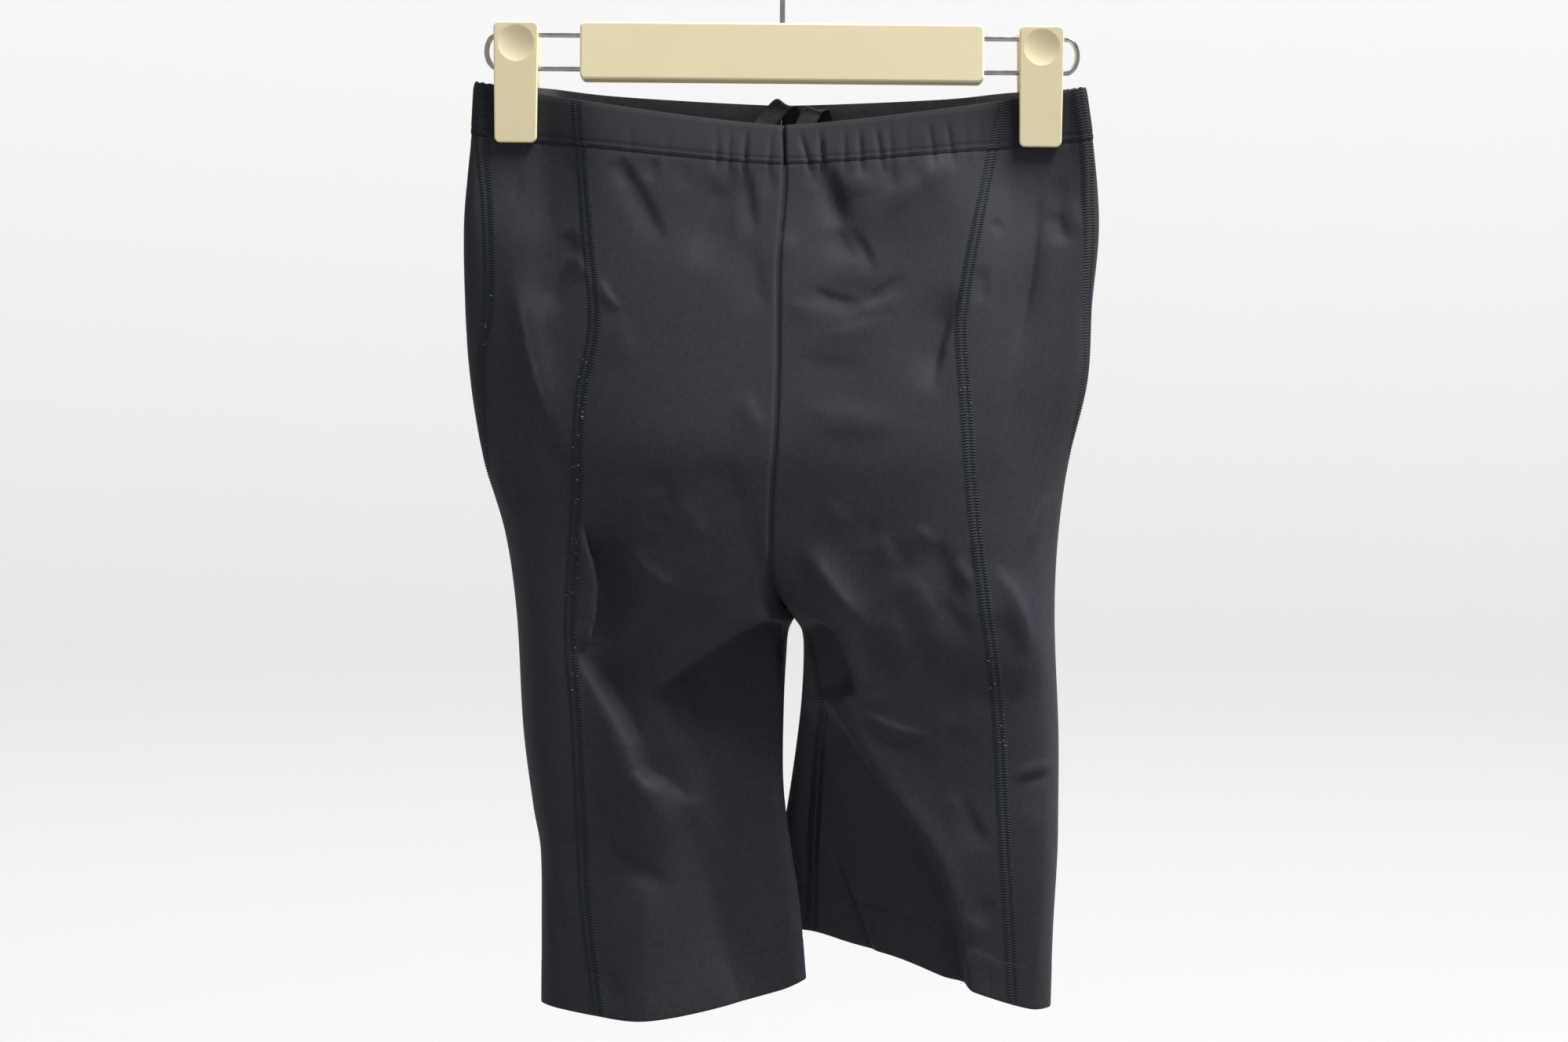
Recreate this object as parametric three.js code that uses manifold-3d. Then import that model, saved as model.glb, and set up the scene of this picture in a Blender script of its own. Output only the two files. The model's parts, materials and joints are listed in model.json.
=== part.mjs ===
// Knee-length stretch sports shorts, hanging by the waist from a clip hanger, in millimetres.
// +X is to the viewer's right of the shown side, -Y is the shown side (taken as the front), +Z is up.
// The origin is the inside top of the hanger's hook, where a rail would carry it.
// Names that end in _left and _right go by the viewer's left (-X) and right (+X) of the shown side.
import * as THREE from "three";
import { mergeVertices } from "three/addons/utils/BufferGeometryUtils.js";
import Module from "manifold-3d";

const wasm = await Module();
wasm.setup();

// Cloth: wall thicknesses, turned edges and the gap that parts two pieces at a seam
const KNIT_WALL = 1.2;
const CASING_WALL = 2.6;
const HEM_WALL = 2;
const CASING_HEIGHT = 28;
const HEM_HEIGHT = 24;
const SEAM_GAP = 0.3;

// Heights of the garment at its side folds, and of the crotch between the legs
const WAIST_Z = -117;
const HEM_Z = -605;
const CROTCH_Z = -400;
const UNDERCURVE_HEIGHT = 40;
const FRONT_WAIST_DIP = 22;
const REAR_WAIST_DIP = 9;
const WAIST_DIP_POWER = 1.3;
const CASING_DIP_SHARE = 0.73;
const WAIST_DIP_REACH = 100;
const HEM_SLANT_START_Z = -470;

// Where the clips pinch the two layers together
const CLIP_LEFT_X = -140.7;
const CLIP_RIGHT_X = 137.2;
const CLIP_WIDTH = 23.6;
const PINCH_DEPTH = 3.2;
const PINCH_SIDE_REACH = 20;
const PINCH_DOWN_REACH = 42;
const CLIP_TOP_Z = -86;
const CLIP_BOTTOM_Z = -149.5;

// Clip hanger: a moulded bar on a loop of wire that two spring clips slide on, with a wire hook
const WIRE_RADIUS = 1.4;
const WIRE_CLEARANCE = 0.3;
const WIRE_SIDES = 8;
const ROD_SIDES = 10;
const RAIL_HALF_LENGTH = 158.3;
const RAIL_TOP_Z = -91.3;
const RAIL_BOTTOM_Z = -109.2;
const RAIL_END_LENGTH = 6;
const BAR_HALF_LENGTH = 107;
const BAR_TOP_Z = -85;
const BAR_HEIGHT = 30.4;
const BAR_DEPTH = 14;
const BAR_WALL = 2.2;
const BAR_CORNER = 3;
const BAR_BEVEL = 1.2;
const HOOK_INNER_RADIUS = 19;
const HOOK_START_ANGLE = -0.3 * Math.PI;
const HOOK_END_ANGLE = 1.12 * Math.PI;
const HOOK_STEM_START_Z = -79;
const HOOK_STEM_TOP_Z = -56;
const HOOK_HEAD_RADIUS = 4;
const HOOK_HEAD_HEIGHT = 1.5;
const HOOK_TIP_RADIUS = 2.6;
const TIP_SIDES = 8;
const STEM_STEPS = 3;
const CROOK_STEPS = 16;
const HOOK_STEPS = 34;
const RAIL_END_STEPS = 8;
const JAW_TOP_Y = 10.6;
const JAW_THICKNESS = 3;
const JAW_CORNER = 2.6;
const JAW_BEVEL = 0.8;
const JAW_TAPER = 0.6;
const RIB_THICKNESS = 2.2;
const RIB_INSET = 1.8;
const RIB_CORNER = 1;
const RIB_TOP_Z = -87.6;
const RIB_BOTTOM_Z = -115;
const THUMB_DISH_Z = -99;
const THUMB_DISH_RADIUS = 9.6;
const THUMB_DISH_DEPTH = 1.5;
const DISH_SIDES = 32;
const CUTTER_OVERRUN = 4;
const MERGE_DISTANCE = 1e-4;

// Drawstring: two stretches of flat braid that rise from inside the front casing and fall back inside
const TAPE_WIDTH = 10;
const TAPE_THICKNESS = 1.3;
const TAPE_FLAT_SHARE = 0.8;
const DRAWSTRING_LEFT = [
  { x: -20, y: -9.4, z: -152 },
  { x: -15, y: -5.9, z: -146 },
  { x: -10, y: -2.3, z: -139.5 },
  { x: -4.5, y: -0.6, z: -132.4 },
  { x: 0.6, y: 1.9, z: -127.2 },
  { x: 3.8, y: 4.8, z: -128 },
  { x: 5, y: 7, z: -134 },
  { x: 4.8, y: 7.8, z: -146 },
  { x: 3.8, y: 7.6, z: -170 },
  { x: 1.6, y: 6.6, z: -200 },
  { x: -1.6, y: 5.4, z: -232 },
  { x: -4, y: 4.4, z: -262 },
];
const DRAWSTRING_RIGHT = [
  { x: 7, y: -9.8, z: -152.4 },
  { x: 9.4, y: -6.2, z: -146.2 },
  { x: 12, y: -2.5, z: -139.6 },
  { x: 14.6, y: -0.9, z: -134 },
  { x: 17.6, y: 1.4, z: -130 },
  { x: 20.6, y: 4.6, z: -130.8 },
  { x: 22.6, y: 6.6, z: -136.4 },
  { x: 23.4, y: 7.2, z: -149 },
  { x: 24.2, y: 6.8, z: -173 },
  { x: 26, y: 6, z: -205 },
  { x: 28.6, y: 5, z: -238 },
  { x: 31, y: 4.2, z: -268 },
];
const TAPE_LEAN_LEFT = -0.45;
const TAPE_LEAN_RIGHT = -0.2;
const TAPE_STEPS = 22;

// Smallest half depth of a layer, and how far the left leg laps in front of the right one
const LEAST_DEPTH = 4;
const LEG_LAP_DEPTH = 10;
const LEG_LAP_END_Z = -500;

// Distance from the middle plane to the outer fold of each half
const SIDE_FOLDS = [
  { z: -117, left: 163.4, right: 161.6 },
  { z: -148, left: 165.0, right: 166.0 },
  { z: -190, left: 168.2, right: 169.3 },
  { z: -232, left: 167.4, right: 166.0 },
  { z: -273, left: 164.4, right: 163.8 },
  { z: -315, left: 157.1, right: 154.2 },
  { z: -356, left: 144.8, right: 148.9 },
  { z: -398, left: 138.4, right: 147.4 },
  { z: -460, left: 134.2, right: 150.0 },
  { z: -502, left: 128.4, right: 150.2 },
  { z: -523, left: 124.6, right: 150.0 },
  { z: -564, left: 123.7, right: 148.0 },
  { z: -605, left: 123.5, right: 147.0 },
];

// X of each leg's inner fold, from the crotch down: the left leg ends up lapping over the right one
const INNER_FOLDS = [
  { z: -400, left: 9.0, right: 9.0 },
  { z: -406, left: 6.3, right: 13.0 },
  { z: -418, left: 5.2, right: 14.2 },
  { z: -447, left: 4.0, right: 13.0 },
  { z: -488, left: 4.2, right: 8.5 },
  { z: -530, left: 9.0, right: 5.0 },
  { z: -560, left: 13.0, right: 3.0 },
  { z: -605, left: 17.0, right: 2.0 },
];

// X of the centre seam in the front layer and in the rear layer, down to the crotch
const CENTRE_SEAM = [
  { z: -117, front: 1.0, rear: 0.0 },
  { z: -157, front: 1.8, rear: 0.0 },
  { z: -205, front: -0.8, rear: 0.5 },
  { z: -272, front: -0.9, rear: 1.0 },
  { z: -305, front: -1.8, rear: 2.0 },
  { z: -340, front: -3.7, rear: 3.0 },
  { z: -365, front: -3.8, rear: 4.0 },
  { z: -380, front: -2.5, rear: 5.0 },
  { z: -390, front: 1.2, rear: 6.5 },
  { z: -400, front: 9.0, rear: 9.0 },
];

// Height of each hem by its distance out from the middle plane, below zero where it laps past it
const HEM_LINES = {
  left: [
    { out: 123.5, z: -605 },
    { out: 95, z: -609 },
    { out: 70, z: -611 },
    { out: 36, z: -606 },
    { out: -3, z: -596 },
    { out: -17, z: -590 },
  ],
  right: [
    { out: 147, z: -605 },
    { out: 135, z: -604.5 },
    { out: 110, z: -596.5 },
    { out: 68, z: -580 },
    { out: 41, z: -573 },
    { out: 20, z: -567 },
    { out: 2, z: -566 },
  ],
};

// Distance from the middle plane to the seam between the front and side panels
const FRONT_SIDE_SEAM = [
  { z: -117, left: 108.5, right: 118.5 },
  { z: -150, left: 105.5, right: 111.0 },
  { z: -200, left: 101.0, right: 101.5 },
  { z: -240, left: 97.0, right: 95.5 },
  { z: -256, left: 98.0, right: 95.3 },
  { z: -285, left: 103.5, right: 97.5 },
  { z: -340, left: 105.2, right: 102.0 },
  { z: -390, left: 108.0, right: 108.5 },
  { z: -418, left: 107.5, right: 113.0 },
  { z: -450, left: 104.5, right: 116.5 },
  { z: -500, left: 102.0, right: 119.5 },
  { z: -545, left: 99.5, right: 122.5 },
  { z: -605, left: 91.5, right: 126.5 },
];

// Distance of the seam between the side and back panels from the side fold: over 0 on the front layer
const SIDE_BACK_SEAM = [
  { z: -117, left: 3.5, right: 4.5 },
  { z: -150, left: 6.0, right: 3.4 },
  { z: -180, left: 12.0, right: 5.5 },
  { z: -210, left: 14.4, right: 4.2 },
  { z: -240, left: 13.0, right: 2.4 },
  { z: -265, left: 7.0, right: 1.4 },
  { z: -300, left: 3.0, right: 0.5 },
  { z: -323, left: 0.2, right: -1.0 },
  { z: -370, left: -6.0, right: -5.0 },
  { z: -430, left: -10.0, right: -9.0 },
  { z: -605, left: -12.0, right: -12.0 },
];

// Distance of each leg's inseam from its inner fold: over 0 on the front layer
const INSEAM = [
  { z: -400, left: 0, right: 0 },
  { z: -430, left: -5, right: 7 },
  { z: -455, left: -8, right: 11.5 },
  { z: -570, left: -10, right: 18 },
  { z: -605, left: -10, right: 18 },
];

// Half depths of the two layers: front and rear at their crests, and at the side fold,
// with the length over which the side and inner folds round off
const DEPTHS = [
  { z: -117, front: 7, rear: 14, edge: 5.5, sideRound: 6, innerRound: 18 },
  { z: -145, front: 21, rear: 17, edge: 5.8, sideRound: 6.5, innerRound: 18 },
  { z: -200, front: 30, rear: 21, edge: 7.5, sideRound: 10, innerRound: 18 },
  { z: -250, front: 37, rear: 25, edge: 8.5, sideRound: 12, innerRound: 18 },
  { z: -300, front: 40, rear: 29, edge: 9, sideRound: 13, innerRound: 18 },
  { z: -350, front: 37, rear: 31, edge: 9, sideRound: 13, innerRound: 18 },
  { z: -400, front: 33, rear: 28, edge: 9, sideRound: 12, innerRound: 18 },
  { z: -450, front: 29, rear: 24, edge: 8, sideRound: 11, innerRound: 12 },
  { z: -500, front: 26, rear: 20, edge: 7.5, sideRound: 10, innerRound: 8 },
  { z: -550, front: 25, rear: 17, edge: 7.5, sideRound: 10, innerRound: 7 },
  { z: -605, front: 26, rear: 16, edge: 7.5, sideRound: 10, innerRound: 7 },
];
const INNER_EDGE_DEPTH = 4;
const INNER_FALL_START_Z = -360;
const INNER_FALL_END_Z = -460;

// Distance from the middle plane to the crest of each half's front layer, and how peaked it is
const CRESTS = [
  { z: -117, left: 20, right: 20, peak: 2.2 },
  { z: -350, left: 22, right: 22, peak: 2.2 },
  { z: -410, left: 50, right: 32, peak: 1.8 },
  { z: -434, left: 64, right: 34, peak: 1.5 },
  { z: -484, left: 70, right: 56, peak: 1.35 },
  { z: -542, left: 68, right: 88, peak: 1.3 },
  { z: -605, left: 66, right: 92, peak: 1.4 },
];
const REAR_LEG_CREST = 70;
const REAR_LENS_POWER = 2;

// Soft folds: a ridge (depth over 0) or trough along a line from (x1, z1) to (x2, z2)
const FRONT_FOLDS = [
  { x1: -19, z1: -158, x2: -38, z2: -215, width: 8, depth: -3.2 },
  { x1: 27, z1: -162, x2: 50, z2: -216, width: 8, depth: -4.5 },
  { x1: 45, z1: -160, x2: 66, z2: -196, width: 10, depth: 2.5 },
  { x1: 24, z1: -233, x2: 56, z2: -236, width: 7, depth: -3 },
  { x1: 20, z1: -247, x2: 60, z2: -250, width: 9, depth: 2.5 },
  { x1: -139, z1: -215, x2: -116, z2: -306, width: 10, depth: 4 },
  { x1: -150, z1: -250, x2: -136, z2: -322, width: 9, depth: -3 },
  { x1: -112, z1: -208, x2: -122, z2: -236, width: 8, depth: -3.5 },
  { x1: 132, z1: -160, x2: 124, z2: -240, width: 7, depth: -3.5 },
  { x1: 144, z1: -158, x2: 146, z2: -185, width: 6, depth: -2.5 },
  { x1: 90, z1: -226, x2: 81, z2: -264, width: 6, depth: -3 },
  { x1: -128, z1: -158, x2: -122, z2: -200, width: 6, depth: -2.5 },
  { x1: 122, z1: -405, x2: 136, z2: -470, width: 12, depth: 3 },
  { x1: 30, z1: -402, x2: 62, z2: -446, width: 11, depth: 5 },
  { x1: -60, z1: -520, x2: -84, z2: -548, width: 14, depth: -4 },
  { x1: -10, z1: -520, x2: -24, z2: -570, width: 10, depth: -3.5 },
];
const REAR_FOLDS = [
  { x1: 22, z1: -150, x2: 40, z2: -214, width: 9, depth: -3.5 },
  { x1: -30, z1: -150, x2: -52, z2: -206, width: 9, depth: -3.5 },
  { x1: 118, z1: -160, x2: 108, z2: -226, width: 9, depth: -3 },
  { x1: -120, z1: -158, x2: -112, z2: -222, width: 9, depth: -3 },
  { x1: 70, z1: -300, x2: 118, z2: -352, width: 13, depth: 3.5 },
  { x1: -72, z1: -296, x2: -120, z2: -350, width: 13, depth: 3.5 },
  { x1: 34, z1: -404, x2: 92, z2: -452, width: 12, depth: -5 },
  { x1: -30, z1: -402, x2: -88, z2: -446, width: 12, depth: -5 },
  { x1: 60, z1: -500, x2: 96, z2: -560, width: 14, depth: 3.5 },
  { x1: -52, z1: -506, x2: -86, z2: -566, width: 14, depth: 3.5 },
];

// One-sided folds of the front layer: past the line from (x1, z1) to (x2, z2), on the side that
// lies to the right of its direction, the cloth drops back and comes out again over the reach
const FRONT_STEPS = [
  { x1: -104, z1: -418, x2: -99, z2: -362, drop: 9, edge: 12, reach: 16 },
  { x1: -86, z1: -438, x2: 2, z2: -401, drop: 18, edge: 15, reach: 52 },
  { x1: -60, z1: -492, x2: -105, z2: -420, drop: 13, edge: 14, reach: 36 },
  { x1: 12, z1: -400, x2: 42, z2: -430, drop: 8, edge: 12, reach: 22 },
  { x1: 44, z1: -466, x2: 90, z2: -540, drop: 6, edge: 12, reach: 30 },
];

// Gathers of the elastic casing
const GATHER_PITCH = 15.5;
const GATHER_DEPTH = 0.5;
const GATHER_FADE_Z = -184;
const GATHER_SWAY = 1.7;
const GATHER_SWAY_PITCH = 71;

// How finely the cloth is cut: columns across each piece and rows down it
const CROTCH_ROWS = 5;
const ROW_STEP = 13;
const FRONT_COLUMNS = 12;
const SIDE_COLUMNS = 7;
const BACK_COLUMNS = 10;
const CASING_ROWS = 2;
const HEM_ROWS = 2;
const CASING_COLUMN = 4.6;

// Small steps used to measure the cloth's slopes and to find a turn by halving
const TURN_PROBE = 0.001;
const NORMAL_TURN = 0.002;
const NORMAL_DROP = 0.4;
const HALVINGS = 30;

// Reads a column of a table whose rows run from the highest key down, as one smooth curve
function read(rows, column, at, key = "z") {
  const last = rows.length - 1;
  if (at >= rows[0][key]) return rows[0][column];
  if (at <= rows[last][key]) return rows[last][column];
  const i = rows.findIndex((row) => row[key] < at) - 1;
  const slope = (a, b) => (rows[b][column] - rows[a][column]) / (rows[b][key] - rows[a][key]);
  const span = rows[i + 1][key] - rows[i][key];
  const t = (at - rows[i][key]) / span;
  const leave = slope(Math.max(i - 1, 0), i + 1) * span;
  const arrive = slope(i, Math.min(i + 2, last)) * span;
  const t2 = t * t;
  const t3 = t2 * t;
  return (
    (2 * t3 - 3 * t2 + 1) * rows[i][column] +
    (t3 - 2 * t2 + t) * leave +
    (3 * t2 - 2 * t3) * rows[i + 1][column] +
    (t3 - t2) * arrive
  );
}

const clamp = (value, low = 0, high = 1) => Math.min(Math.max(value, low), high);
const mix = (a, b, share) => a + (b - a) * share;
const easeBetween = (value, start, end) => {
  const t = clamp((value - start) / (end - start));
  return t * t * (3 - 2 * t);
};
const halfName = (side) => (side < 0 ? "left" : "right");

// A quarter round: 0 at an edge, 1 where the distance from it reaches the length
const quarterRound = (distance, length) =>
  Math.sqrt(1 - (1 - clamp(distance / length)) ** 2);

// Where a point lies by a line: how far along, how far past its ends, and how far to its right
function besideLine(line, x, z) {
  const dx = line.x2 - line.x1;
  const dz = line.z2 - line.z1;
  const length = Math.hypot(dx, dz);
  const along = ((x - line.x1) * dx + (z - line.z1) * dz) / length;
  const right = ((x - line.x1) * dz - (z - line.z1) * dx) / length;
  return { past: Math.max(-along, along - length, 0), right };
}

function foldDepth(folds, x, z) {
  return folds.reduce((sum, fold) => {
    const { past, right } = besideLine(fold, x, z);
    return sum + fold.depth * Math.exp(-(past ** 2 + right ** 2) / fold.width ** 2);
  }, 0);
}

function stepDrop(steps, x, z) {
  return steps.reduce((most, step) => {
    const { past, right } = besideLine(step, x, z);
    const beyond = Math.max(right - step.edge, 0) / step.reach;
    const fade = Math.exp(-((past / step.edge) ** 2) - beyond ** 2);
    return Math.max(most, step.drop * easeBetween(right, 0, step.edge) * fade);
  }, 0);
}

// How much the clip of this half pinches the layers at a point
function pinchAt(side, x, z) {
  const clipX = side < 0 ? CLIP_LEFT_X : CLIP_RIGHT_X;
  const aside = Math.max(Math.abs(x - clipX) - CLIP_WIDTH / 2, 0) / PINCH_SIDE_REACH;
  const below = Math.max(CLIP_BOTTOM_Z - z, 0) / PINCH_DOWN_REACH;
  return Math.exp(-(aside ** 2) - below ** 2);
}

const gatherAt = (x) =>
  Math.sin((2 * Math.PI * x) / GATHER_PITCH + GATHER_SWAY * Math.sin((2 * Math.PI * x) / GATHER_SWAY_PITCH));

// Half depth of the front or rear layer at a distance out from the middle plane
function layerDepth(side, front, out, inner, outer, rowZ, z) {
  const x = side * out;
  const half = halfName(side);
  const edge = read(DEPTHS, "edge", rowZ);
  const crest = front ? read(CRESTS, half, rowZ) : REAR_LEG_CREST;
  const power = front ? read(CRESTS, "peak", rowZ) : REAR_LENS_POWER;
  const full = read(DEPTHS, front ? "front" : "rear", rowZ);
  const legShare = easeBetween(rowZ, INNER_FALL_START_Z, INNER_FALL_END_Z);
  const outward = clamp((out - crest) / (outer - crest));
  const inward = clamp((crest - out) / (crest - inner));
  const innerEdge = mix(edge, INNER_EDGE_DEPTH, legShare);
  let depth = full - (full - edge) * outward ** power - (full - innerEdge) * legShare * inward ** power;
  depth += foldDepth(front ? FRONT_FOLDS : REAR_FOLDS, x, z);
  if (front) depth -= stepDrop(FRONT_STEPS, x, z);
  depth += GATHER_DEPTH * gatherAt(x) * easeBetween(z, GATHER_FADE_Z, WAIST_Z - CASING_HEIGHT);
  depth = Math.max(depth, Math.min(edge, LEAST_DEPTH));
  return mix(depth, PINCH_DEPTH, pinchAt(side, x, z));
}

// How far the front or rear layer of a row has dipped at its middle, or slanted at its hem
function rowHeight(side, front, out, outer, rowZ) {
  const dip = front ? FRONT_WAIST_DIP : REAR_WAIST_DIP;
  const casingShare = mix(1, CASING_DIP_SHARE, clamp((WAIST_Z - rowZ) / CASING_HEIGHT));
  const panelShare = 1 - easeBetween(WAIST_Z - CASING_HEIGHT - rowZ, 0, WAIST_DIP_REACH);
  const sag = dip * (1 - clamp(Math.abs(out) / outer) ** WAIST_DIP_POWER) * casingShare * panelShare;
  const slant = read(HEM_LINES[halfName(side)], "z", out, "out") - HEM_Z;
  const hemShare = easeBetween(-rowZ, -HEM_SLANT_START_Z, -(HEM_Z + HEM_HEIGHT));
  return rowZ - sag + slant * hemShare;
}

// How much of a row is closed into a leg: 0 in the body, 1 from the crotch down
const legClosure = (rowZ) => 1 - clamp((rowZ - CROTCH_Z) / UNDERCURVE_HEIGHT);

// Spreads a layer's columns, closer together where the cloth turns round a fold
const spread = (t, closure) =>
  mix(Math.sin((Math.PI * t) / 2), (1 - Math.cos(Math.PI * t)) / 2, closure);

function unspread(share, closure) {
  let low = 0;
  let high = 1;
  for (let step = 0; step < HALVINGS; step += 1) {
    const middle = (low + high) / 2;
    if (spread(middle, closure) < share) low = middle;
    else high = middle;
  }
  return (low + high) / 2;
}

// Where a layer of one half starts and ends, as distances out from the middle plane
function rowEnds(side, front, rowZ) {
  const half = halfName(side);
  const outer = read(SIDE_FOLDS, half, rowZ);
  const middle = rowZ > CROTCH_Z
    ? read(CENTRE_SEAM, front ? "front" : "rear", rowZ)
    : read(INNER_FOLDS, half, rowZ);
  return { inner: side * middle + SEAM_GAP / 2, outer };
}

// The outside of one half of the garment: turn runs from 0 at the middle over the front layer
// to 0.5 at the side fold, and back over the rear layer to 1
function clothPoint(side, turn, rowZ) {
  const wrapped = rowZ > CROTCH_Z ? clamp(turn) : turn - Math.floor(turn);
  const front = wrapped <= 0.5;
  const closure = legClosure(rowZ);
  const { inner, outer } = rowEnds(side, front, rowZ);
  const share = spread(front ? 2 * wrapped : 2 - 2 * wrapped, closure);
  const out = mix(inner, outer, share);
  const z = rowHeight(side, front, out, outer, rowZ);
  const innerRound = read(DEPTHS, "innerRound", rowZ);
  const innerCap = quarterRound(out - inner + innerRound * (1 - closure), innerRound);
  const outerCap = quarterRound(outer - out, read(DEPTHS, "sideRound", rowZ));
  const depth = layerDepth(side, front, out, inner, outer, rowZ, z) * innerCap * outerCap;
  const lap = LEG_LAP_DEPTH * easeBetween(-rowZ, -CROTCH_Z, -LEG_LAP_END_Z) * (1 - share);
  return new THREE.Vector3(side * out, side * lap + (front ? -depth : depth), z);
}

// The outward direction at a point of the cloth
function clothNormal(side, turn, rowZ) {
  const open = rowZ > CROTCH_Z;
  const ahead = open ? Math.min(turn + NORMAL_TURN, 1) : turn + NORMAL_TURN;
  const behind = open ? Math.max(turn - NORMAL_TURN, 0) : turn - NORMAL_TURN;
  const above = clothPoint(side, turn, rowZ + (rowZ > CROTCH_Z - NORMAL_DROP && !open ? 0 : NORMAL_DROP));
  const below = clothPoint(side, turn, rowZ - (open && rowZ - NORMAL_DROP < CROTCH_Z ? 0 : NORMAL_DROP));
  const across = clothPoint(side, ahead, rowZ).sub(clothPoint(side, behind, rowZ));
  const normal = across.cross(above.sub(below)).multiplyScalar(side);
  const atMiddle = open && (turn < NORMAL_TURN || turn > 1 - NORMAL_TURN);
  if (atMiddle) normal.x = 0;
  return normal.normalize();
}

// Where each seam of one half runs, as a turn round the section
function turnAt(side, front, distance, rowZ) {
  const { inner, outer } = rowEnds(side, front, rowZ);
  const t = unspread(clamp((distance - inner) / (outer - inner)), legClosure(rowZ));
  return front ? t / 2 : 1 - t / 2;
}

function frontSideTurn(side, rowZ) {
  return turnAt(side, true, read(FRONT_SIDE_SEAM, halfName(side), rowZ), rowZ);
}

function sideBackTurn(side, rowZ) {
  const fromFold = read(SIDE_BACK_SEAM, halfName(side), rowZ);
  const { outer } = rowEnds(side, fromFold > 0, rowZ);
  return turnAt(side, fromFold > 0, outer - Math.abs(fromFold), rowZ);
}

function inseamTurn(side, rowZ) {
  if (rowZ >= CROTCH_Z) return 0;
  const fromFold = read(INSEAM, halfName(side), rowZ);
  const { inner } = rowEnds(side, true, rowZ);
  const turn = turnAt(side, true, inner + Math.abs(fromFold), rowZ);
  return Math.sign(fromFold) * turn;
}

// The step in turn that covers a distance along the cloth
function turnStepFor(side, turn, rowZ, distance) {
  const middle = rowZ > CROTCH_Z ? clamp(turn, TURN_PROBE, 1 - TURN_PROBE) : turn;
  const ahead = clothPoint(side, middle + TURN_PROBE, rowZ);
  const behind = clothPoint(side, middle - TURN_PROBE, rowZ);
  return (distance * 2 * TURN_PROBE) / ahead.distanceTo(behind);
}

// A closed wall of cloth between two seams and two heights
function clothWall({ side, from, to, rows, columns, wall }) {
  const across = columns + 1;
  const outside = [];
  const inside = [];
  for (const rowZ of rows) {
    const closure = legClosure(rowZ);
    const start = from(side, rowZ);
    const end = to(side, rowZ);
    const atMiddle = closure < 1;
    const startGap = atMiddle && start === 0 ? SEAM_GAP * closure : SEAM_GAP;
    const endGap = atMiddle && end === 1 ? SEAM_GAP * closure : SEAM_GAP;
    const first = start + turnStepFor(side, start, rowZ, startGap / 2);
    const last = end - turnStepFor(side, end, rowZ, endGap / 2);
    for (let column = 0; column < across; column += 1) {
      const turn = mix(first, last, column / columns);
      const point = clothPoint(side, turn, rowZ);
      outside.push(point);
      inside.push(point.clone().addScaledVector(clothNormal(side, turn, rowZ), -wall));
    }
  }
  const points = [...outside, ...inside];
  const count = outside.length;
  const faces = [];
  const quad = (a, b, c, d) => faces.push(...(side > 0 ? [a, b, c, a, c, d] : [a, c, b, a, d, c]));
  for (let row = 0; row < rows.length - 1; row += 1) {
    for (let column = 0; column < columns; column += 1) {
      const a = row * across + column;
      quad(a, a + across, a + across + 1, a + 1);
      quad(count + a, count + a + 1, count + a + across + 1, count + a + across);
    }
    const left = row * across;
    const right = left + columns;
    quad(left, count + left, count + left + across, left + across);
    quad(right, right + across, count + right + across, count + right);
  }
  const bottom = (rows.length - 1) * across;
  for (let column = 0; column < columns; column += 1) {
    quad(column, column + 1, count + column + 1, count + column);
    quad(bottom + column, count + bottom + column, count + bottom + column + 1, bottom + column + 1);
  }
  const geometry = new THREE.BufferGeometry();
  geometry.setAttribute(
    "position",
    new THREE.Float32BufferAttribute(points.flatMap((point) => point.toArray()), 3),
  );
  geometry.setIndex(faces);
  return geometry;
}

// Evenly spaced values from one to another
function heights(from, to, count) {
  return Array.from({ length: count + 1 }, (_, i) => mix(from, to, i / count));
}

// Heights of the panels' rows, closer together where the seat turns under to the crotch
const casingEnd = WAIST_Z - CASING_HEIGHT;
const hemStart = HEM_Z + HEM_HEIGHT;
const undercurveTop = CROTCH_Z + UNDERCURVE_HEIGHT;
const bodyRows = Math.round((casingEnd - undercurveTop) / ROW_STEP);
const legRows = Math.round((CROTCH_Z - hemStart) / ROW_STEP);
const underRows = Array.from({ length: CROTCH_ROWS - 1 }, (_, i) =>
  CROTCH_Z + UNDERCURVE_HEIGHT * (1 - Math.sin(((i + 1) / CROTCH_ROWS) * (Math.PI / 2))));
const panelRows = [
  ...heights(casingEnd - SEAM_GAP, undercurveTop, bodyRows),
  ...underRows,
  ...heights(CROTCH_Z, hemStart + SEAM_GAP / 2, legRows),
];
const casingRows = heights(WAIST_Z, casingEnd, CASING_ROWS);
const hemRows = heights(hemStart - SEAM_GAP / 2, HEM_Z, HEM_ROWS);

const knit = { color: 0x3a3c43, roughness: 0.8, metalness: 0 };
const casingKnit = { color: 0x373940, roughness: 0.82, metalness: 0 };
const plastic = { color: 0xe9d6a6, roughness: 0.45, metalness: 0 };
const chrome = { color: 0xc9cacd, roughness: 0.2, metalness: 1 };
const tape = { color: 0x2b2d33, roughness: 0.85, metalness: 0 };

const shorts = new THREE.Group();

function addPiece(name, geometry, look) {
  const mesh = new THREE.Mesh(geometry, new THREE.MeshStandardMaterial(look));
  mesh.name = name;
  shorts.add(mesh);
}

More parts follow.
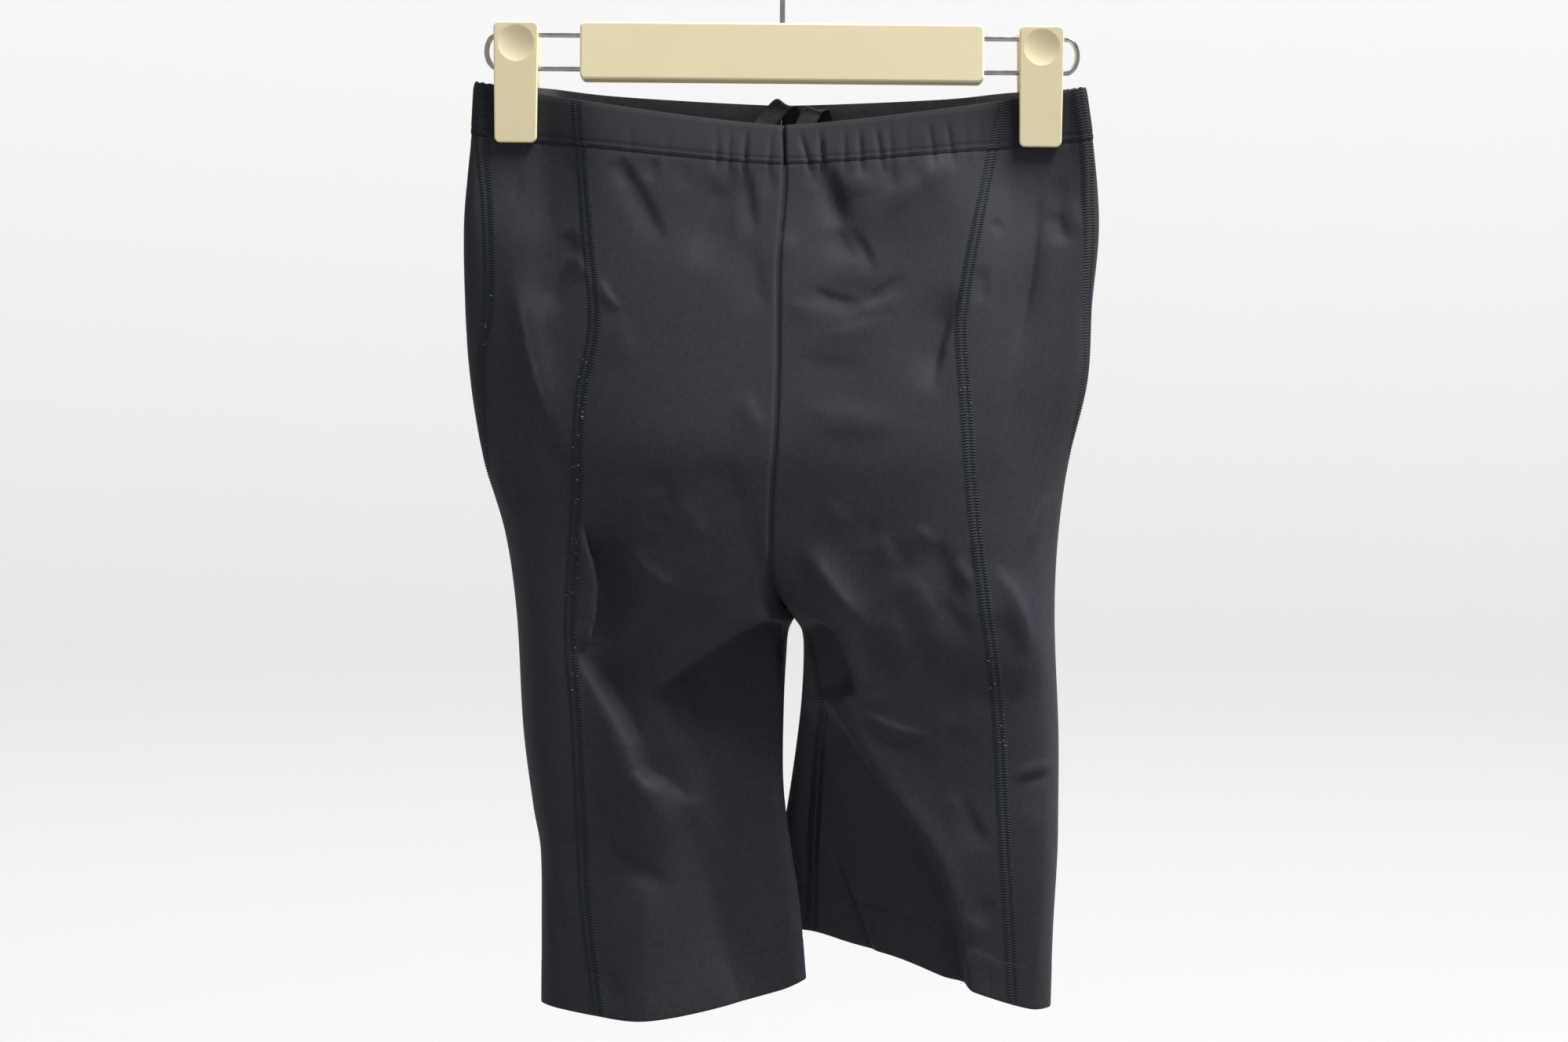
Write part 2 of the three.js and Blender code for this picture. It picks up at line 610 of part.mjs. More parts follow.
// The sewn pieces of each half: a front, side and back panel, each with its casing and hem
const backEnd = (side, rowZ) => 1 + inseamTurn(side, rowZ);
const PIECES = [
  { name: "front", from: inseamTurn, to: frontSideTurn, columns: FRONT_COLUMNS, casingWidth: 110 },
  { name: "side", from: frontSideTurn, to: sideBackTurn, columns: SIDE_COLUMNS, casingWidth: 54 },
  { name: "back", from: sideBackTurn, to: backEnd, columns: BACK_COLUMNS, casingWidth: 162 },
];
for (const side of [-1, 1]) {
  for (const { name, from, to, columns, casingWidth } of PIECES) {
    const half = halfName(side);
    const casingColumns = Math.round(casingWidth / CASING_COLUMN);
    addPiece(
      `${name}_panel_${half}`,
      clothWall({ side, from, to, rows: panelRows, columns, wall: KNIT_WALL }),
      knit,
    );
    addPiece(
      `${name}_casing_${half}`,
      clothWall({ side, from, to, rows: casingRows, columns: casingColumns, wall: CASING_WALL }),
      casingKnit,
    );
    addPiece(
      `${name}_hem_${half}`,
      clothWall({ side, from, to, rows: hemRows, columns, wall: HEM_WALL }),
      knit,
    );
  }
}

// A closed tube of any section along a path. The section's first axis stays in the path's plane,
// or along the given width direction, and its second axis is square to it.
function sweep(path, widthAt, profile, closed) {
  const count = path.length;
  const positions = [];
  path.forEach((point, i) => {
    const before = path[closed ? (i + count - 1) % count : Math.max(i - 1, 0)];
    const after = path[closed ? (i + 1) % count : Math.min(i + 1, count - 1)];
    const tangent = after.clone().sub(before).normalize();
    const width = widthAt(i);
    width.addScaledVector(tangent, -width.dot(tangent)).normalize();
    const thickness = tangent.clone().cross(width);
    for (const [w, t] of profile) {
      const corner = point.clone().addScaledVector(width, w).addScaledVector(thickness, t);
      positions.push(...corner.toArray());
    }
  });
  const sides = profile.length;
  const faces = [];
  for (let i = 0; i < (closed ? count : count - 1); i += 1) {
    const here = i * sides;
    const next = ((i + 1) % count) * sides;
    for (let side = 0; side < sides; side += 1) {
      const turn = (side + 1) % sides;
      faces.push(here + side, here + turn, next + turn, here + side, next + turn, next + side);
    }
  }
  if (!closed) {
    const end = (count - 1) * sides;
    for (let side = 1; side < sides - 1; side += 1) {
      faces.push(0, side + 1, side, end, end + side, end + side + 1);
    }
  }
  const geometry = new THREE.BufferGeometry();
  geometry.setAttribute("position", new THREE.Float32BufferAttribute(positions, 3));
  geometry.setIndex(faces);
  return geometry;
}

const circle = (radius, sides) =>
  Array.from({ length: sides }, (_, i) => {
    const angle = (2 * Math.PI * (i + 0.5)) / sides;
    return [radius * Math.cos(angle), radius * Math.sin(angle)];
  });

const toVector = ({ x, y, z }) => new THREE.Vector3(x, y, z);

// A flat tape through hand-set points: wide across the garment, thin from front to rear
function tapeGeometry(route, lean) {
  const curve = new THREE.CatmullRomCurve3(route.map(toVector), false, "centripetal");
  const halfWidth = TAPE_WIDTH / 2;
  const halfThickness = TAPE_THICKNESS / 2;
  const flat = halfWidth * TAPE_FLAT_SHARE;
  const profile = [
    [halfWidth, -halfThickness / 2],
    [halfWidth, halfThickness / 2],
    [flat, halfThickness],
    [-flat, halfThickness],
    [-halfWidth, halfThickness / 2],
    [-halfWidth, -halfThickness / 2],
    [-flat, -halfThickness],
    [flat, -halfThickness],
  ];
  const points = curve.getSpacedPoints(TAPE_STEPS);
  return sweep(points, () => new THREE.Vector3(1, 0, lean), profile, false);
}
addPiece("drawstring_left", tapeGeometry(DRAWSTRING_LEFT, TAPE_LEAN_LEFT), tape);
addPiece("drawstring_right", tapeGeometry(DRAWSTRING_RIGHT, TAPE_LEAN_RIGHT), tape);

// Booleans for the moulded and bent pieces
function toSolid(geometry) {
  const bare = geometry.clone();
  bare.deleteAttribute("normal");
  bare.deleteAttribute("uv");
  const merged = mergeVertices(bare, MERGE_DISTANCE);
  return new wasm.Manifold(
    new wasm.Mesh({
      numProp: 3,
      vertProperties: new Float32Array(merged.attributes.position.array),
      triVerts: new Uint32Array(merged.index.array),
    }),
  );
}

function fromSolid(solid) {
  const { vertProperties, triVerts } = solid.getMesh();
  const geometry = new THREE.BufferGeometry();
  geometry.setAttribute("position", new THREE.Float32BufferAttribute(vertProperties, 3));
  geometry.setIndex([...triVerts]);
  return geometry;
}

// A plate seen from the front: an outline in x and z, rounded at its corners and bevelled
function plate(halfTop, halfBottom, topZ, bottomZ, corner, thickness, bevel) {
  const outline = new THREE.Shape();
  outline.moveTo(-halfTop + corner, topZ);
  outline.lineTo(halfTop - corner, topZ);
  outline.quadraticCurveTo(halfTop, topZ, halfTop, topZ - corner);
  outline.lineTo(halfBottom, bottomZ + corner);
  outline.quadraticCurveTo(halfBottom, bottomZ, halfBottom - corner, bottomZ);
  outline.lineTo(-halfBottom + corner, bottomZ);
  outline.quadraticCurveTo(-halfBottom, bottomZ, -halfBottom, bottomZ + corner);
  outline.lineTo(-halfTop, topZ - corner);
  outline.quadraticCurveTo(-halfTop, topZ, -halfTop + corner, topZ);
  const geometry = new THREE.ExtrudeGeometry(outline, {
    depth: thickness - 2 * bevel,
    bevelEnabled: true,
    bevelThickness: bevel,
    bevelSize: bevel,
    bevelOffset: -bevel,
    bevelSegments: 1,
    curveSegments: 2,
  });
  geometry.translate(0, 0, bevel);
  geometry.rotateX(Math.PI / 2);
  return geometry;
}

// A round rod along X or Z, used to cut wire channels and holes and as the hook's rivet head
function rod(radius, length, axis, x, y, z) {
  const geometry = new THREE.CylinderGeometry(radius, radius, length, ROD_SIDES);
  if (axis === "x") geometry.rotateZ(Math.PI / 2);
  else geometry.rotateX(Math.PI / 2);
  geometry.translate(x, y, z);
  return toSolid(geometry);
}

// The loop of wire: two straight runs joined by round ends
function railGeometry() {
  const middleZ = (RAIL_TOP_Z + RAIL_BOTTOM_Z) / 2;
  const rise = (RAIL_TOP_Z - RAIL_BOTTOM_Z) / 2;
  const straight = RAIL_HALF_LENGTH - WIRE_RADIUS - RAIL_END_LENGTH;
  const path = [];
  for (const side of [1, -1]) {
    for (let i = 0; i <= RAIL_END_STEPS; i += 1) {
      const angle = Math.PI / 2 - (Math.PI * i) / RAIL_END_STEPS;
      const x = side * (straight + RAIL_END_LENGTH * Math.cos(angle));
      path.push(new THREE.Vector3(x, 0, middleZ + side * rise * Math.sin(angle)));
    }
  }
  return sweep(path, () => new THREE.Vector3(0, 1, 0), circle(WIRE_RADIUS, WIRE_SIDES), true);
}
addPiece("hanger_rail", railGeometry(), chrome);

// The hook: a straight stem with a rivet head under the bar, an easy bend and a round crook
function hookGeometry() {
  const radius = HOOK_INNER_RADIUS + WIRE_RADIUS;
  const headTopZ = BAR_TOP_Z - BAR_WALL - WIRE_CLEARANCE;
  const path = [new THREE.Vector3(0, 0, headTopZ - HOOK_HEAD_HEIGHT / 2)];
  for (const z of heights(HOOK_STEM_START_Z, HOOK_STEM_TOP_Z, STEM_STEPS)) {
    path.push(new THREE.Vector3(0, 0, z));
  }
  for (const angle of heights(HOOK_START_ANGLE, HOOK_END_ANGLE, CROOK_STEPS)) {
    path.push(new THREE.Vector3(radius * Math.cos(angle), 0, radius * Math.sin(angle) - HOOK_INNER_RADIUS));
  }
  const curve = new THREE.CatmullRomCurve3(path, false, "centripetal");
  const points = curve.getSpacedPoints(HOOK_STEPS);
  const wire = toSolid(sweep(points, () => new THREE.Vector3(0, 1, 0), circle(WIRE_RADIUS, WIRE_SIDES), false));
  const head = rod(HOOK_HEAD_RADIUS, HOOK_HEAD_HEIGHT, "z", 0, 0, headTopZ - HOOK_HEAD_HEIGHT / 2);
  const ball = new THREE.SphereGeometry(HOOK_TIP_RADIUS, TIP_SIDES, TIP_SIDES - 2);
  const tip = toSolid(ball.translate(...points.at(-1).toArray()));
  return fromSolid(wire.add(head).add(tip));
}
addPiece("hanger_hook", hookGeometry(), chrome);

// The bar: a moulded channel, open below, with holes for the wires and the hook's stem
function barGeometry() {
  const bottomZ = BAR_TOP_Z - BAR_HEIGHT;
  const block = plate(BAR_HALF_LENGTH, BAR_HALF_LENGTH, BAR_TOP_Z, bottomZ, BAR_CORNER, BAR_DEPTH, BAR_BEVEL);
  block.translate(0, BAR_DEPTH / 2, 0);
  const cavity = new THREE.BoxGeometry(
    2 * (BAR_HALF_LENGTH - BAR_WALL),
    BAR_DEPTH - 2 * BAR_WALL,
    BAR_HEIGHT,
  ).translate(0, 0, BAR_TOP_Z - BAR_WALL - BAR_HEIGHT / 2);
  let bar = toSolid(block).subtract(toSolid(cavity));
  for (const z of [RAIL_TOP_Z, RAIL_BOTTOM_Z]) {
    bar = bar.subtract(rod(WIRE_RADIUS + WIRE_CLEARANCE, 2 * BAR_HALF_LENGTH + CUTTER_OVERRUN, "x", 0, 0, z));
  }
  bar = bar.subtract(rod(WIRE_RADIUS + WIRE_CLEARANCE, 2 * CUTTER_OVERRUN, "z", 0, 0, BAR_TOP_Z));
  return fromSolid(bar);
}
addPiece("hanger_bar", barGeometry(), plastic);

// One jaw of a clip: a leaning plate with a thumb dish, and two ribs that run on the wires
function jawGeometry(clipX, facing) {
  const height = CLIP_TOP_Z - CLIP_BOTTOM_Z;
  const halfWidth = CLIP_WIDTH / 2;
  const tipY = PINCH_DEPTH + SEAM_GAP + JAW_THICKNESS;
  const lean = Math.atan2(JAW_TOP_Y - tipY, height);
  const leaf = plate(halfWidth, halfWidth - JAW_TAPER, 0, -height, JAW_CORNER, JAW_THICKNESS, JAW_BEVEL);
  leaf.translate(0, JAW_THICKNESS, 0);
  leaf.rotateX(lean);
  leaf.translate(0, -JAW_TOP_Y, CLIP_TOP_Z);
  let jaw = toSolid(leaf);
  const ribInset = halfWidth - RIB_THICKNESS / 2 - RIB_INSET;
  const ribHeight = RIB_TOP_Z - RIB_BOTTOM_Z;
  for (const x of [-ribInset, ribInset]) {
    const outline = new THREE.Shape();
    outline.moveTo(-JAW_TOP_Y + JAW_THICKNESS / 2, RIB_TOP_Z);
    outline.lineTo(-SEAM_GAP, RIB_TOP_Z - RIB_CORNER);
    outline.lineTo(-SEAM_GAP, RIB_BOTTOM_Z + RIB_CORNER);
    outline.lineTo(-JAW_TOP_Y + JAW_THICKNESS / 2 + Math.tan(lean) * ribHeight, RIB_BOTTOM_Z);
    const rib = new THREE.ExtrudeGeometry(outline, { depth: RIB_THICKNESS, bevelEnabled: false });
    rib.applyMatrix4(new THREE.Matrix4().makeBasis(
      new THREE.Vector3(0, 1, 0),
      new THREE.Vector3(0, 0, 1),
      new THREE.Vector3(1, 0, 0),
    ));
    rib.translate(x - RIB_THICKNESS / 2, 0, 0);
    jaw = jaw.add(toSolid(rib));
  }
  for (const z of [RAIL_TOP_Z, RAIL_BOTTOM_Z]) {
    jaw = jaw.subtract(rod(WIRE_RADIUS + WIRE_CLEARANCE, CLIP_WIDTH + CUTTER_OVERRUN, "x", 0, 0, z));
  }
  const ballRadius = (THUMB_DISH_RADIUS ** 2 + THUMB_DISH_DEPTH ** 2) / (2 * THUMB_DISH_DEPTH);
  const faceY = -JAW_TOP_Y + Math.tan(lean) * (CLIP_TOP_Z - THUMB_DISH_Z);
  const ball = new THREE.SphereGeometry(ballRadius, DISH_SIDES, DISH_SIDES / 2);
  ball.translate(0, faceY - ballRadius + THUMB_DISH_DEPTH, THUMB_DISH_Z);
  const geometry = fromSolid(jaw.subtract(toSolid(ball)));
  if (facing > 0) geometry.rotateZ(Math.PI);
  return geometry.translate(clipX, 0, 0);
}
for (const side of [-1, 1]) {
  const clipX = side < 0 ? CLIP_LEFT_X : CLIP_RIGHT_X;
  addPiece(`clip_front_jaw_${halfName(side)}`, jawGeometry(clipX, -1), plastic);
  addPiece(`clip_rear_jaw_${halfName(side)}`, jawGeometry(clipX, 1), plastic);
}

export default shorts;
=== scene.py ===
# %% [markdown]
# # Knee-length stretch shorts on a clip hanger
#
# The shorts are cut from a charcoal stretch knit. Each leg has a front, a side and a back panel, joined by
# flat overlocked seams. The waist edge is turned over elastic and the leg edges are turned up as hems. They
# hang by the waist from two clips that slide on a loop of wire, under a moulded bar with a wire hook.
#
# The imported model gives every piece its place, so this file only makes finer pieces around it. Lengths are in
# millimetres while a piece is drawn, as on a paper pattern, and MM turns them into Blender's metres.

import json
import math

import bmesh
import bpy
import numpy as np
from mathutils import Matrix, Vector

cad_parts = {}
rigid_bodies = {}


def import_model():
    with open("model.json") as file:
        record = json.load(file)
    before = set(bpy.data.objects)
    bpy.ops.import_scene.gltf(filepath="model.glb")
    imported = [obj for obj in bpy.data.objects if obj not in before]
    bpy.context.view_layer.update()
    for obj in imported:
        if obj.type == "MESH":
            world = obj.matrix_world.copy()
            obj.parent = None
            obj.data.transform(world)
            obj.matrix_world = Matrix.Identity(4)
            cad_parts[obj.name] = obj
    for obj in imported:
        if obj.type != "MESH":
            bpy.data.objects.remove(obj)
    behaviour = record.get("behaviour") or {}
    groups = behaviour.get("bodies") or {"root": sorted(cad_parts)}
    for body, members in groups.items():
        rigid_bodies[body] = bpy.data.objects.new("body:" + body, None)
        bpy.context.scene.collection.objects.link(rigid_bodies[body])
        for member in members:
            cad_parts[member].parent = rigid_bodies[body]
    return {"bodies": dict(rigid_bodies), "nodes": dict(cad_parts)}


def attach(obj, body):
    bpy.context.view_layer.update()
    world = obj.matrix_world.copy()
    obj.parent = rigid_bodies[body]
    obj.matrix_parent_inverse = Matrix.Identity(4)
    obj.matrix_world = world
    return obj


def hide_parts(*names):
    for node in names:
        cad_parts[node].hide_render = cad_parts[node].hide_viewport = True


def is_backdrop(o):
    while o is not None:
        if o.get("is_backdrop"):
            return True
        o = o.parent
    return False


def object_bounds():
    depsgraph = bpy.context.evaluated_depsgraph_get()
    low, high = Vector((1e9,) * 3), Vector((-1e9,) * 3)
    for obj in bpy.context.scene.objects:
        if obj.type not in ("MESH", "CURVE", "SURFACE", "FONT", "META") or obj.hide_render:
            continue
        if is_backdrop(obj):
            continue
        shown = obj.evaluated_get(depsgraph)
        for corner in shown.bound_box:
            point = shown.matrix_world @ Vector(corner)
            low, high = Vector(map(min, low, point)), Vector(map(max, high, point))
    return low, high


MM = 0.001

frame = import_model()
cad_box = [list(corner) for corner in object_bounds()]
print(f"frame: {len(frame['nodes'])} nodes, box {cad_box}")

# %% [markdown]
# ## Camera
#
# The camera looks at the middle of the garment from a metre and a half away, with a short telephoto lens. A
# long distance keeps both hems nearly the same size as the waist. The roll of half a degree repeats the
# slight tilt at which the hanger hangs.

# %% Camera
CAMERA_PLACE = (3.2, -1500, -348.5)
CAMERA_LENS = 64.8
CAMERA_SENSOR = 36
CAMERA_ROLL = -0.5

camera = bpy.data.objects.new("camera", bpy.data.cameras.new("camera"))
camera.data.lens = CAMERA_LENS
camera.data.sensor_width = CAMERA_SENSOR
camera.location = [place * MM for place in CAMERA_PLACE]
camera.rotation_euler = (math.radians(90), math.radians(CAMERA_ROLL), 0)
bpy.context.scene.collection.objects.link(camera)
bpy.context.scene.camera = camera
bpy.context.scene.view_settings.view_transform = "Standard"
print("camera at", tuple(camera.location))

# %% [markdown]
# ## Meshes from arrays
#
# Cloth, tape, thread and wire are all made the same way here: numpy works out rings or rows of points, and
# one function turns them into a mesh. It is quicker than adding vertices one by one, and a row of points is
# easy to reason about. Edges sharper than the given angle stay crisp when the rest is shaded smooth.

# %% From points and faces to an object
SHARP_ANGLE = 50


def make_piece(name, points, faces, sharp=SHARP_ANGLE):
    """An object at the origin with its points, in millimetres, in its mesh."""
    mesh = bpy.data.meshes.new(name)
    corners = faces if isinstance(faces, list) else faces.tolist()
    mesh.from_pydata((np.reshape(points, (-1, 3)) * MM).tolist(), [], corners)
    mesh.update()
    mesh.shade_smooth()
    mesh.set_sharp_from_angle(angle=math.radians(sharp))
    piece = bpy.data.objects.new(name, mesh)
    bpy.context.scene.collection.objects.link(piece)
    return piece


def grid_faces(rows, columns, first=0, wrap=False, flip=False):
    """Quads over rows of points, each row joined to the next, and to itself where it wraps."""
    row = np.arange(rows - 1)[:, None]
    column = np.arange(columns if wrap else columns - 1)[None, :]
    here = first + row * columns + column
    beside = first + row * columns + (column + 1) % columns
    faces = np.stack([here, beside, beside + columns, here + columns], -1).reshape(-1, 4)
    return faces[:, ::-1] if flip else faces


def unit(vectors):
    return vectors / np.maximum(np.linalg.norm(vectors, axis=-1, keepdims=True), 1e-9)


# %% A rounded line through given points
CURVE_STEPS = 30


def smooth_path(points, spacing):
    """Evenly spaced points on a centripetal Catmull-Rom curve."""
    points = np.array(points, float)
    ends = [2 * points[0] - points[1], *points, 2 * points[-1] - points[-2]]
    dense = []
    for a, b, c, d in zip(ends, ends[1:], ends[2:], ends[3:]):
        gaps = [np.linalg.norm(q - p) ** 0.5 for p, q in ((a, b), (b, c), (c, d))]
        k0, k1, k2, k3 = np.cumsum([0, *gaps])
        t = np.linspace(k1, k2, CURVE_STEPS, endpoint=False)[:, None]
        ab = ((k1 - t) * a + (t - k0) * b) / (k1 - k0)
        bc = ((k2 - t) * b + (t - k1) * c) / (k2 - k1)
        cd = ((k3 - t) * c + (t - k2) * d) / (k3 - k2)
        abc = ((k2 - t) * ab + (t - k0) * bc) / (k2 - k0)
        bcd = ((k3 - t) * bc + (t - k1) * cd) / (k3 - k1)
        dense.append(((k2 - t) * abc + (t - k1) * bcd) / (k2 - k1))
    dense = np.vstack([*dense, points[-1:]])
    travelled = np.concatenate([[0], np.cumsum(np.linalg.norm(np.diff(dense, axis=0), axis=1))])
    even = np.linspace(0, travelled[-1], max(int(travelled[-1] / spacing), 2) + 1)
    return np.stack([np.interp(even, travelled, dense[:, axis]) for axis in range(3)], -1), travelled[-1]


def frame_along(path, width, closed=False):
    """Width and thickness directions square to a path, kept near a given width direction."""
    ahead = np.roll(path, -1, 0) if closed else np.vstack([path[1:], path[-1:]])
    behind = np.roll(path, 1, 0) if closed else np.vstack([path[:1], path[:-1]])
    tangent = unit(ahead - behind)
    width = np.broadcast_to(np.array(width, float), path.shape)
    width = unit(width - tangent * np.sum(width * tangent, -1, keepdims=True))
    return width, np.cross(tangent, width)


# %% [markdown]
# ## Drawstring
#
# A flat braid runs inside the waist casing. Two stretches of it come up out of the front casing, fold over
# and fall back inside. A braid that narrow is a ribbon with raised, slanted plaits, so each ring of the
# ribbon is a flat oval whose two faces carry five ribs, notched at a slant. The route is the one that the
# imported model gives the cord.

# %% Drawstring routes and sizes
TAPE_WIDTH = 10
TAPE_THICKNESS = 1.3
TAPE_STEP = 0.42
TAPE_ACROSS = 21
RIB_PITCH = 2
RIB_RISE = 0.2
RIB_FULLNESS = 0.6
EDGE_SQUARENESS = 8
NOTCH_PITCH = 1.7
NOTCH_SHARE = 0.35
DRAWSTRINGS = {
    "left": {
        "lean": -0.45,
        "length": 165,
        "route": [
            (-20, -9.4, -152), (-15, -5.9, -146), (-10, -2.3, -139.5), (-4.5, -0.6, -132.4),
            (0.6, 1.9, -127.2), (3.8, 4.8, -128), (5, 7, -134), (4.8, 7.8, -146),
            (3.8, 7.6, -170), (1.6, 6.6, -200), (-1.6, 5.4, -232), (-4, 4.4, -262),
        ],
    },
    "right": {
        "lean": -0.2,
        "length": 167,
        "route": [
            (7, -9.8, -152.4), (9.4, -6.2, -146.2), (12, -2.5, -139.6), (14.6, -0.9, -134),
            (17.6, 1.4, -130), (20.6, 4.6, -130.8), (22.6, 6.6, -136.4), (23.4, 7.2, -149),
            (24.2, 6.8, -173), (26, 6, -205), (28.6, 5, -238), (31, 4.2, -268),
        ],
    },
}


# %% Braid the two stretches
def braid_height(across, along):
    """How far the plaits stand out of the ribbon's face."""
    rib = np.abs(np.cos(np.pi * across / RIB_PITCH)) ** RIB_FULLNESS
    slant = np.where(np.floor(across / RIB_PITCH + 0.5) % 2 == 0, 1, -1) * across
    notch = 0.5 + 0.5 * np.cos(2 * np.pi * (along + slant) / NOTCH_PITCH)
    return RIB_RISE * rib * (1 - NOTCH_SHARE * notch)


def braided_tape(name, route, lean):
    """A ribbon along a route, with its path and its length."""
    path, length = smooth_path(route, TAPE_STEP)
    width, thickness = frame_along(path, (1, 0, lean))
    across = np.linspace(-TAPE_WIDTH / 2, TAPE_WIDTH / 2, TAPE_ACROSS)
    along = np.linspace(0, length, len(path))[:, None]
    edge = np.sqrt(np.clip(1 - (2 * across / TAPE_WIDTH) ** EDGE_SQUARENESS, 0, 1))
    lift = (TAPE_THICKNESS / 2 - RIB_RISE) * edge + braid_height(across[None, :], along) * edge
    spread = path[:, None] + width[:, None] * across[None, :, None]
    top = spread + thickness[:, None] * lift[..., None]
    under = spread - thickness[:, None] * lift[..., None]
    rings = np.concatenate([top, under[:, -2:0:-1]], 1)
    sides = rings.shape[1]
    ends = len(path) * sides
    points = np.vstack([rings.reshape(-1, 3), path[:1], path[-1:]])
    faces = grid_faces(len(path), sides, wrap=True).tolist()
    last = ends - sides
    for side in range(sides):
        turn = (side + 1) % sides
        faces.append([ends, turn, side])
        faces.append([ends + 1, last + side, last + turn])
    return make_piece(name, points, faces), path, length


pieces = {}
tape_paths = {}
for half, cord in DRAWSTRINGS.items():
    name = f"drawstring_braid_{half}"
    pieces[name], tape_paths[half], length = braided_tape(name, cord["route"], cord["lean"])
    print(name, "length", round(length, 1), "mm")

# %% [markdown]
# ## The cloth as one surface
#
# Each half of the garment is a tube that starts as an open half at the waist and closes into a leg at the
# crotch. A point on it has a turn, from 0 at the middle of the front over 0.5 at the side fold to 1 at the
# middle of the back, and a row, its height before the cloth sags or slants. Short tables give the sizes at a
# few heights, and a smooth curve reads between them. Every panel, hem, seam and stitch is then cut from the
# same surface, so nothing has to be fitted afterwards.


# %% Tables that are read as smooth curves
def table(columns, *rows):
    """Named columns of numbers, given row by row."""
    return {name: np.array(column, float) for name, column in zip(columns.split(), zip(*rows))}


def read(rows, column, at, key="z"):
    """A column as a smooth curve through its rows, whose keys run from the highest down."""
    keys, values = rows[key], rows[column]
    last = len(keys) - 1
    at = np.clip(at, keys[-1], keys[0])
    i = np.clip(np.searchsorted(-keys, -at, side="right") - 1, 0, last - 1)
    before, after = np.maximum(i - 1, 0), np.minimum(i + 2, last)
    span = keys[i + 1] - keys[i]
    t = (at - keys[i]) / span
    leave = (values[i + 1] - values[before]) / (keys[i + 1] - keys[before]) * span
    arrive = (values[after] - values[i]) / (keys[after] - keys[i]) * span
    start = (2 * t**3 - 3 * t**2 + 1) * values[i] + (t**3 - 2 * t**2 + t) * leave
    return start + (3 * t**2 - 2 * t**3) * values[i + 1] + (t**3 - t**2) * arrive


def ease(value, start, end):
    t = np.clip((value - start) / (end - start), 0, 1)
    return t * t * (3 - 2 * t)


def quarter_round(distance, length):
    """0 at an edge, 1 where the distance from it reaches the length."""
    return np.sqrt(1 - (1 - np.clip(distance / length, 0, 1)) ** 2)


# %% Driving sizes of the garment
CASING_HEIGHT = 28
HEM_HEIGHT = 24
WAIST_Z = -117
HEM_Z = -605
CROTCH_Z = -400
CASING_END = WAIST_Z - CASING_HEIGHT
HEM_START = HEM_Z + HEM_HEIGHT
UNDERCURVE_HEIGHT = 40
FRONT_WAIST_DIP = 22
REAR_WAIST_DIP = 9
WAIST_DIP_POWER = 1.3
CASING_DIP_SHARE = 0.73
WAIST_DIP_REACH = 100
HEM_SLANT_START_Z = -470
LEAST_DEPTH = 4
LEAST_SOFTNESS = 1.2
TUCK_ROOM = 12
LEG_LAP_DEPTH = 10
LEG_LAP_END_Z = -500
INNER_EDGE_DEPTH = 4
INNER_FALL = (-360, -460)
REAR_LEG_CREST = 70
REAR_LENS_POWER = 2
SEAM_GAP = 0.06

CLIP_X = {-1: -140.7, 1: 137.2}
CLIP_WIDTH = 23.6
CLIP_TOP_Z = -86
CLIP_BOTTOM_Z = -149.5
PINCH_DEPTH = 3.2
PINCH_SIDE_REACH = 20
PINCH_DOWN_REACH = 42

HALF = {-1: "left", 1: "right"}

# %% Outline, seams and depths, from the waist down
SIDE_FOLDS = table(
    "z left right",
    (-117, 163.4, 161.6), (-148, 165.0, 166.0), (-190, 168.2, 169.3), (-232, 167.4, 166.0),
    (-273, 164.4, 163.8), (-315, 157.1, 154.2), (-356, 144.8, 148.9), (-398, 138.4, 147.4),
    (-460, 134.2, 150.0), (-502, 128.4, 150.2), (-523, 124.6, 150.0), (-564, 123.7, 148.0),
    (-605, 123.5, 147.0),
)
INNER_FOLDS = table(
    "z left right",
    (-400, 9.0, 9.0), (-406, 6.3, 13.0), (-418, 5.2, 14.2), (-447, 4.0, 13.0),
    (-488, 4.2, 8.5), (-530, 9.0, 5.0), (-560, 13.0, 3.0), (-605, 17.0, 2.0),
)
CENTRE_SEAM = table(
    "z front rear",
    (-117, 1.0, 0.0), (-157, 1.8, 0.0), (-205, -0.8, 0.5), (-272, -0.9, 1.0), (-305, -1.8, 2.0),
    (-340, -3.7, 3.0), (-365, -3.8, 4.0), (-380, -2.5, 5.0), (-390, 1.2, 6.5), (-400, 9.0, 9.0),
)
HEM_LINES = {
    "left": table("out z", (123.5, -605), (95, -609), (70, -611), (36, -606), (-3, -596), (-17, -590)),
    "right": table(
        "out z",
        (147, -605), (135, -604.5), (110, -596.5), (68, -580), (41, -573), (20, -567), (2, -566),
    ),
}
FRONT_SIDE_SEAM = table(
    "z left right",
    (-117, 108.5, 118.5), (-150, 105.5, 111.0), (-200, 101.0, 101.5), (-240, 97.0, 95.5),
    (-256, 98.0, 95.3), (-285, 103.5, 97.5), (-340, 105.2, 102.0), (-390, 108.0, 108.5),
    (-418, 107.5, 113.0), (-450, 104.5, 116.5), (-500, 102.0, 119.5), (-545, 99.5, 122.5),
    (-605, 91.5, 126.5),
)
SIDE_BACK_SEAM = table(
    "z left right",
    (-117, 3.5, 4.5), (-150, 6.0, 3.4), (-180, 12.0, 5.5), (-210, 14.4, 4.2), (-240, 13.0, 2.4),
    (-265, 7.0, 1.4), (-300, 3.0, 0.5), (-323, 0.2, -1.0), (-370, -6.0, -5.0), (-430, -10.0, -9.0),
    (-605, -12.0, -12.0),
)
INSEAM = table(
    "z left right",
    (-400, 0, 0), (-430, -5, 7), (-455, -8, 11.5), (-570, -10, 18), (-605, -10, 18),
)
